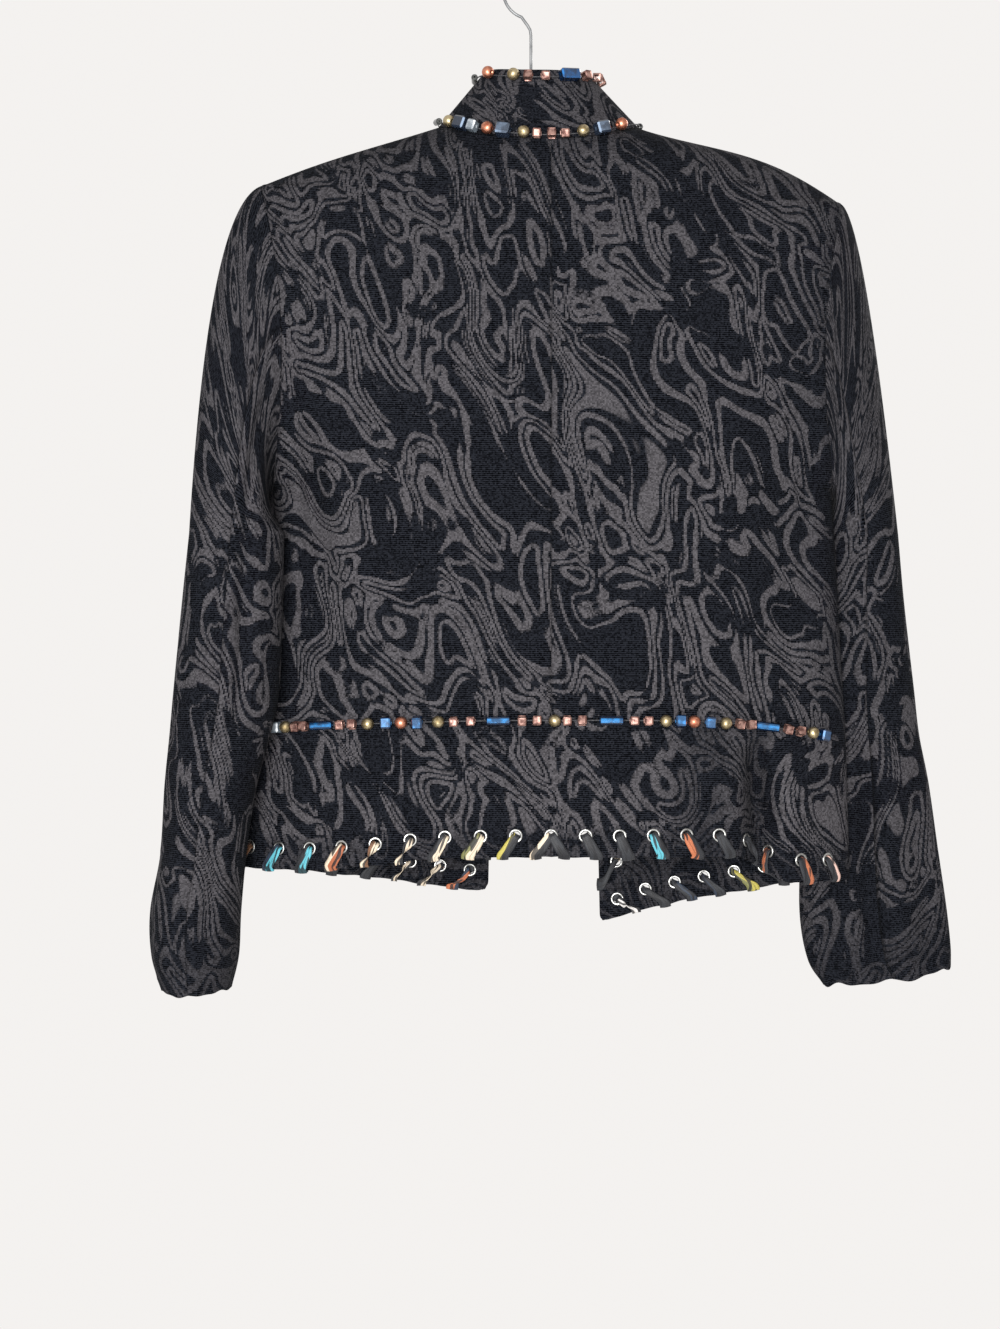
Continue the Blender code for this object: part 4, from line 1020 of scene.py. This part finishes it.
def build_beads(models, thread_look):
    s = np.sin(np.linspace(0, math.pi / 2, 200))
    sides = []
    for half, _ in HALVES:
        levels = (WAIST - 0.02, WAIST - 0.01, WAIST)
        rows = np.stack([back_point(half, s, np.full_like(s, v)) for v in levels])
        sides.append((rows[2], grid_normals(rows, (0, -1, 0))[1]))
    line = Line(*(np.concatenate([left[:0:-1], right]) for left, right in zip(*sides)))
    placed = [(kind, across_line(line, x, 0, line.length[-1])) for kind, x in WAIST_BEADS]
    bead_row("beads_waist", line, placed, models, thread_look)
    for name, h, beads in (("beads_neck", 0.03, NECK_BEADS), ("beads_collar", 0.88, COLLAR_BEADS)):
        q, height = np.meshgrid(np.linspace(-1.97, 1.97, 400), [h - 0.02, h, h + 0.02])
        points = collar_point(q, height)
        line = Line(points[1], grid_normals(points, (0, -1, 0))[1])
        low, high = (np.interp(t, q[1], line.length) for t in (-1.0, 1.0))
        placed = [(kind, across_line(line, x, low, high)) for kind, x in beads]
        for way in (-1, 1):
            kind, place = placed[0] if way < 0 else placed[-1]
            for k in range(12):
                after = FRONT_RUN[k % 4 - 1] if k else SIDE_BEADS[name][way > 0]
                gap = (SIDE_GAPS[name][way > 0], FRONT_GAP)[k] if k < 2 else ROW_GAP
                place += way * (BEADS[kind].length / 2 + gap + BEADS[after].length / 2)
                if not 5 < place < line.length[-1] - 5:
                    break
                placed.append((after, place))
                kind = after
            placed.sort(key=lambda bead: bead[1])
        bead_row(name, line, placed, models, thread_look)


# Ribbon runs from the centre back outward, then round to the front edge: colours, width share and twists.
Run = namedtuple("Run", "first second width twist")
COLOURS = {
    "black": (0.02, 0.021, 0.024), "grey": (0.018, 0.0195, 0.023), "slate": (0.02, 0.028, 0.045),
    "cream": (0.50, 0.42, 0.32), "rust": (0.27, 0.085, 0.04), "brown": (0.13, 0.065, 0.035),
    "turquoise": (0.075, 0.30, 0.36), "olive": (0.13, 0.13, 0.05), "yellow": (0.32, 0.275, 0.06),
    "orange": (0.33, 0.105, 0.048), "pale": (0.54, 0.52, 0.50), "pink": (0.62, 0.42, 0.36),
}
RIBBONS = {
    "left": (
        Run("black", "cream", 0.9, 0), Run("grey", "yellow", 0.9, 0), Run("cream", "olive", 1.0, 0),
        Run("cream", "black", 0.9, 0), Run("cream", "black", 0.8, 1), Run("cream", "brown", 0.8, 1),
        Run("rust", "cream", 1.0, 0), Run("turquoise", "black", 1.0, 0), Run("turquoise", "slate", 1.0, 0),
        Run("brown", "rust", 0.8, 0), Run("black", "grey", 0.9, 0), Run("grey", "black", 0.9, 0),
        Run("black", "grey", 0.9, 0), Run("cream", "black", 0.6, 1), Run("cream", "black", 0.9, 1),
        Run("orange", "slate", 1.0, 0), Run("black", "grey", 0.9, 0), Run("grey", "slate", 0.9, 0),
        Run("yellow", "olive", 0.9, 0),
    ),
    "right": (
        Run("black", "grey", 0.9, 0), Run("grey", "black", 1.0, 0), Run("grey", "black", 1.0, 0),
        Run("turquoise", "black", 1.0, 0), Run("orange", "black", 1.0, 0), Run("grey", "black", 0.9, 0),
        Run("black", "grey", 0.8, 1), Run("rust", "black", 0.6, 0), Run("grey", "orange", 1.0, 0),
        Run("black", "pink", 0.9, 0), Run("black", "grey", 0.9, 0), Run("yellow", "olive", 1.0, 0),
        Run("grey", "slate", 0.9, 0), Run("slate", "black", 0.9, 0), Run("black", "grey", 0.9, 0),
        Run("pale", "black", 0.9, 1), Run("grey", "black", 1.0, 0), Run("grey", "cream", 0.9, 0),
        Run("grey", "black", 0.9, 0),
    ),
}


def build_lacing(seats, skirts, eyelet, ribbon_look):
    """Eyelets at their seats, and the ribbon out of each, over the cloth's edge and up inside to the next."""
    for half, name in HALVES:
        grids = [skirts["back", name], skirts["front", name]]
        edge_back = Line(grids[0][0][-1], grids[0][1][-1])
        edge_front = Line(grids[1][0][-1, ::-1], grids[1][1][-1, ::-1])
        edge_up = Line(grids[1][0][::-1, 0], grids[1][1][::-1, 0])
        places, copies = [], []
        for k, place in enumerate(seats[name]):
            points, normals, _ = grids[0] if k <= BACK_EYELETS else grids[1]
            near = np.unravel_index(np.argmin(np.linalg.norm(points - place, axis=-1)), points.shape[:2])
            normal = normals[near]
            seat = place - normal * np.dot(place - points[near], normal)
            edge = edge_back if k <= BACK_EYELETS else edge_front if k <= HEM_EYELETS else edge_up
            spot = edge.length[np.argmin(np.linalg.norm(edge.points - seat, axis=1))]
            along = edge.at(spot)[2]
            lean = BACK_LEAN[half] if k <= BACK_EYELETS else FRONT_LEAN
            if half is RIGHT and k == SPAN_EYELET:
                lean = SPAN_LEAN
            places.append((seat, normal, along, edge, spot, lean))
            if k or half is LEFT:
                side = unit(np.cross(normal, along))
                axes = [unit(np.cross(side, normal)), side, normal]
                copies.append(place_copy(eyelet, "eyelet_%02d" % k, seat, axes))
        made = join(copies, "eyelets_" + name)
        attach(made, "root")
        first = 0 if half is LEFT else 1
        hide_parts(*["eyelet_%s_%02d" % (name, k) for k in range(first, EYELETS + 1)])
        build_ribbon(name, places, ribbon_look)


# A cross-section of the ribbon: its middle, the way its width runs, the way it faces, its width and its run.
Section = namedtuple("Section", "middle side out width run")


def ribbon_sections(name, places):
    """Out of each eyelet, over the cloth's edge and up the inside to the next."""
    found = []

    def add(run, middle, side, out, width):
        found.append(Section(middle, side, out, width, run))

    lift = WALL / 2 + 2.2
    skim = WALL / 2 + 0.7
    rim = EYELET_RIM + 0.3
    for k, (seat, normal, along, edge, spot, lean) in enumerate(places):
        run = RIBBONS[name][k]
        wide = RIBBON_WIDE * run.width
        hole = seat + along * (0.9 if k == 0 else 0.0)
        last = k == len(places) - 1
        if last:
            turn_at, turn_out, turn_along = hole + normal * lift + np.array([0, 0, -18.0]), normal, along
        else:
            turn_at, turn_out, turn_along = edge.at(min(spot + lean, edge.length[-1] - 1.5))
        over = unit(turn_at - hole - normal * np.dot(turn_at - hole, normal))
        side = unit(np.cross(normal, over))
        side = side * np.sign(np.dot(side, along))
        hole = hole - over * 1.6
        add(run, hole - normal, side, over, RIBBON_NARROW)
        add(run, hole + normal * (lift - 0.4) + over * 1.2, side, unit(over + normal), RIBBON_NARROW)
        start = hole + normal * lift + over * rim
        add(run, start, side, normal, wide * 0.92)
        if last:
            add(run, start + (turn_at - start) * 0.5, side, normal, wide)
            add(run, turn_at, side, normal, wide)
            break
        down = unit(np.cross(turn_out, turn_along))
        down = down * np.sign(np.dot(down, turn_at - seat))
        end = turn_at + turn_out * skim - down * 1.2
        spread = wide * (0.9 if run.twist else 1.12)
        drawn = wide * (1 - 0.3 * run.twist)
        for share in (0.34, 0.67):
            twist = share * math.pi * run.twist
            middle = start + (end - start) * share + normal * 0.8 * math.sin(math.pi * share)
            cos, sin = math.cos(twist), math.sin(twist)
            add(run, middle, side * cos + normal * sin, normal * cos - side * sin, drawn)
        flip = -1 if run.twist else 1
        add(run, end, unit(side + turn_along * 2) * flip, turn_out * flip, spread)
        add(run, turn_at + down * skim, turn_along * flip, down * flip, spread)
        add(run, turn_at - turn_out * skim - down * 1.2, turn_along * flip, -turn_out * flip, spread)
        after, after_normal, after_along = places[k + 1][:3]
        back = unit(after - turn_at)
        if run.twist:
            middle = (after + turn_at) / 2 - after_normal * (lift + 1.0)
            add(run, middle, after_normal, after_along, wide * 0.7)
        add(run, after - after_normal * lift - back * rim, after_along, -after_normal, wide * 0.92)
        inside = after - after_normal * (lift - 0.4) - back * 1.2
        add(run, inside, after_along, unit(back - after_normal), RIBBON_NARROW)
    return found


def build_ribbon(name, places, look):
    sections = ribbon_sections(name, places)
    middles = np.array([section.middle for section in sections])
    steps = np.maximum(np.linalg.norm(np.diff(middles, axis=0), axis=1), 0.4)
    knots = np.concatenate([[0.0], np.cumsum(steps)])
    fine = np.arange(0.0, knots[-1], 0.9)
    middles = np.stack([ease(knots, middles[:, axis], fine) for axis in range(3)], axis=-1)
    sides, outs = (
        unit(np.stack([np.interp(fine, knots, [getattr(section, part)[axis] for section in sections])
                       for axis in range(3)], axis=-1))
        for part in ("side", "out"))
    widths = np.interp(fine, knots, [section.width for section in sections])
    across = np.linspace(-0.5, 0.5, 7)
    arch = 0.45 * np.cos(across * math.pi)
    points = (middles[:, None] + sides[:, None] * (across * widths[:, None])[..., None]
              + outs[:, None] * (arch * (widths[:, None] / RIBBON_WIDE))[..., None])
    rows, cols = points.shape[:2]
    index = np.arange(rows * cols).reshape(rows, cols)
    quads = np.stack([index[:-1, :-1], index[:-1, 1:], index[1:, 1:], index[1:, :-1]], axis=-1).reshape(-1, 4)
    made = mesh_object("ribbon_" + name, points.reshape(-1, 3), quads, [look])
    flat = np.stack(np.broadcast_arrays((across + 0.5)[None] * RIBBON_WIDE, fine[:, None]), axis=-1) * MM
    lay_flat(made, flat.reshape(-1, 2))
    runs = np.clip(np.searchsorted(knots, fine, side="right") - 1, 0, len(sections) - 1)
    for tone in ("first", "second"):
        shades = np.array([COLOURS[getattr(sections[k].run, tone)] + (1.0,) for k in runs], np.float32)
        layer = made.data.attributes.new(tone, "FLOAT_COLOR", "POINT")
        layer.data.foreach_set("color", np.repeat(shades, cols, axis=0).ravel())
    thicken(made, RIBBON_THICK)
    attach(made, "root")
    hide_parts("lace_" + name)


def build_hanger(look):
    """One bent wire: hook, neck, left arm, bar, right arm and its end laid beside the neck."""
    route = []
    for turn in np.radians(np.linspace(0, 250, 41)):
        radius = HOOK_INSIDE + WIRE
        route.append((radius * math.cos(turn), -HOOK_INSIDE + radius * math.sin(turn)))
    route += list(HOOK_BEND) + [(0.0, HANGER_APEX_Z + 4), (-1.0, HANGER_APEX_Z + 1)]

    def arm(half, end):
        spots = []
        for v in np.linspace(0.02, end, 14):
            (x0, _, z0), (x1, _, z1), (x, _, z) = (seam_edge(half, v + step) for step in (-0.01, 0.01, 0.0))
            slope = unit(np.array([x1 - x0, z1 - z0]))
            below = 0.8 + HANGER_CLEAR + WIRE + 0.6
            spots.append((x + slope[1] * below * half.out, z - slope[0] * below * half.out))
        return spots

    def end_turn(top, low, out):
        middle = np.array([top[0] + out * 1.0, (top[1] + low[1]) / 2])
        radius = (top[1] - low[1]) / 2
        turns = np.radians([20, -15, -50])
        return [tuple(middle + radius * np.array([out * math.cos(t), math.sin(t)])) for t in turns]

    left, right = arm(LEFT, HANGER_LEFT_END), arm(RIGHT, HANGER_RIGHT_END)
    left_low = (left[-1][0], left[-1][1] - 2 * HANGER_TURN)
    right_low = (right[-1][0], right[-1][1] - 2 * HANGER_TURN)
    route += left + end_turn(left[-1], left_low, -1) + [left_low]
    route += [right_low] + end_turn(right[-1], right_low, 1)[::-1] + right[::-1]
    beside = 2 * WIRE + 0.35
    route += [(beside + 1.6, HANGER_APEX_Z - 1.4), (beside, HANGER_APEX_Z + 1.5),
              (beside, HANGER_APEX_Z + HANGER_TAIL)]
    route = np.array(route, float)
    before = np.vstack([route[:1], route[:-1]])
    after = np.vstack([route[1:], route[-1:]])
    along = unit(unit(route - before) + unit(after - route))
    deep = np.array([0.0, 1.0, 0.0])
    rings = [(np.array([x, 0.0, z]), np.array([way[1], 0.0, -way[0]]), deep)
             for (x, z), way in zip(route, along)]
    made = tube("hanger_smooth_wire", rings, WIRE, 12, look, capped=True)
    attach(made, "root")
    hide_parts("hanger")


def build_stage():
    deselect()
    bpy.ops.mesh.primitive_plane_add(size=3.0, location=(0, -1.0, -1.3))
    floor = bpy.context.object
    floor.name = "floor"
    made, shader, start = new_look("floor_pale", Roughness=0.8)
    spot = start.node("ShaderNodeTexCoord", None, 3)
    grain = start.node("ShaderNodeTexNoise", Vector=spot, Scale=40.0)
    feed(shader, Base_Color=grain.blend((0.60, 0.59, 0.58, 1), (0.66, 0.65, 0.64, 1)))
    floor.data.materials.append(made)
    world = bpy.data.worlds.new("studio")
    world.use_nodes = True
    back = world.node_tree.nodes["Background"]
    back.inputs["Color"].default_value = STUDIO_WHITE
    back.inputs["Strength"].default_value = 1.0
    bpy.context.scene.world = world
    for name, place, aim, size, power in LAMPS:
        light = bpy.data.lights.new(name, "AREA")
        light.energy = power
        light.size = size
        lamp = bpy.data.objects.new(name, light)
        way = np.array(aim) - np.array(place)
        flat = math.hypot(way[0], way[1])
        lamp.location = place
        lamp.rotation_euler = (math.atan2(flat, -way[2]), 0, math.atan2(-way[0], way[1]))
        bpy.context.scene.collection.objects.link(lamp)
    lens = bpy.data.cameras.new("camera")
    lens.lens = LENS
    camera = bpy.data.objects.new("camera", lens)
    camera.location = CAMERA
    camera.rotation_euler = (math.pi / 2, 0, 0)
    bpy.context.scene.collection.objects.link(camera)
    bpy.context.scene.camera = camera
    bpy.context.scene.view_settings.view_transform = "Standard"


def build():
    build_stage()
    cloth = jacquard()
    steel = mottled("eyelet_plating", (0.16, 0.16, 0.155, 1), (0.42, 0.42, 0.405, 1), 0.28, 300.0, 0.3)
    wire = mottled("hanger_steel", (0.20, 0.205, 0.21, 1), (0.30, 0.305, 0.31, 1), 0.5, 60.0, 0.0)
    looks = {
        "brass": mottled("bead_brass", (0.19, 0.145, 0.075, 1), (0.47, 0.39, 0.24, 1), 0.36, 260.0, 0.25),
        "copper": mottled("bead_copper", (0.30, 0.10, 0.06, 1), (0.60, 0.26, 0.165, 1), 0.36, 320.0, 0.3),
        "cube": mottled("bead_pink_copper", (0.12, 0.06, 0.052, 1), (0.42, 0.26, 0.22, 1), 0.44, 260.0, 0.3),
        "blue": glass("bead_blue_glass", (0.002, 0.008, 0.026, 1), (0.035, 0.17, 0.40, 1)),
        "clear": glass("bead_clear_glass", (0.010, 0.015, 0.026, 1), (0.16, 0.22, 0.31, 1)),
        "crystal": glass("bead_crystal", (0.10, 0.12, 0.14, 1), (0.72, 0.75, 0.78, 1)),
        "bugle": glass("bead_blue_bugle", (0.001, 0.006, 0.02, 1), (0.006, 0.13, 0.34, 1)),
        "slab": glass("bead_blue_slab", (0.001, 0.007, 0.022, 1), (0.004, 0.13, 0.40, 1)),
        "smoke": glass("bead_smoke_glass", (0.008, 0.009, 0.009, 1), (0.10, 0.105, 0.10, 1)),
    }
    thread_look = mottled("bead_thread", (0.012, 0.012, 0.014, 1), (0.035, 0.035, 0.04, 1), 0.6, 900.0,
                          metallic=0.0)
    build_panels(cloth)
    seats = eyelet_seats()
    skirts = build_peplum(cloth, seats)
    build_sleeves(cloth)
    build_collar(cloth)
    models = {kind: model_bead(kind, look) for kind, look in looks.items()}
    build_beads(models, thread_look)
    eyelet = model_eyelet(steel)
    build_lacing(seats, skirts, eyelet, printed_ribbon())
    build_hanger(wire)
    for model in list(models.values()) + [eyelet]:
        bpy.data.objects.remove(model)


build()
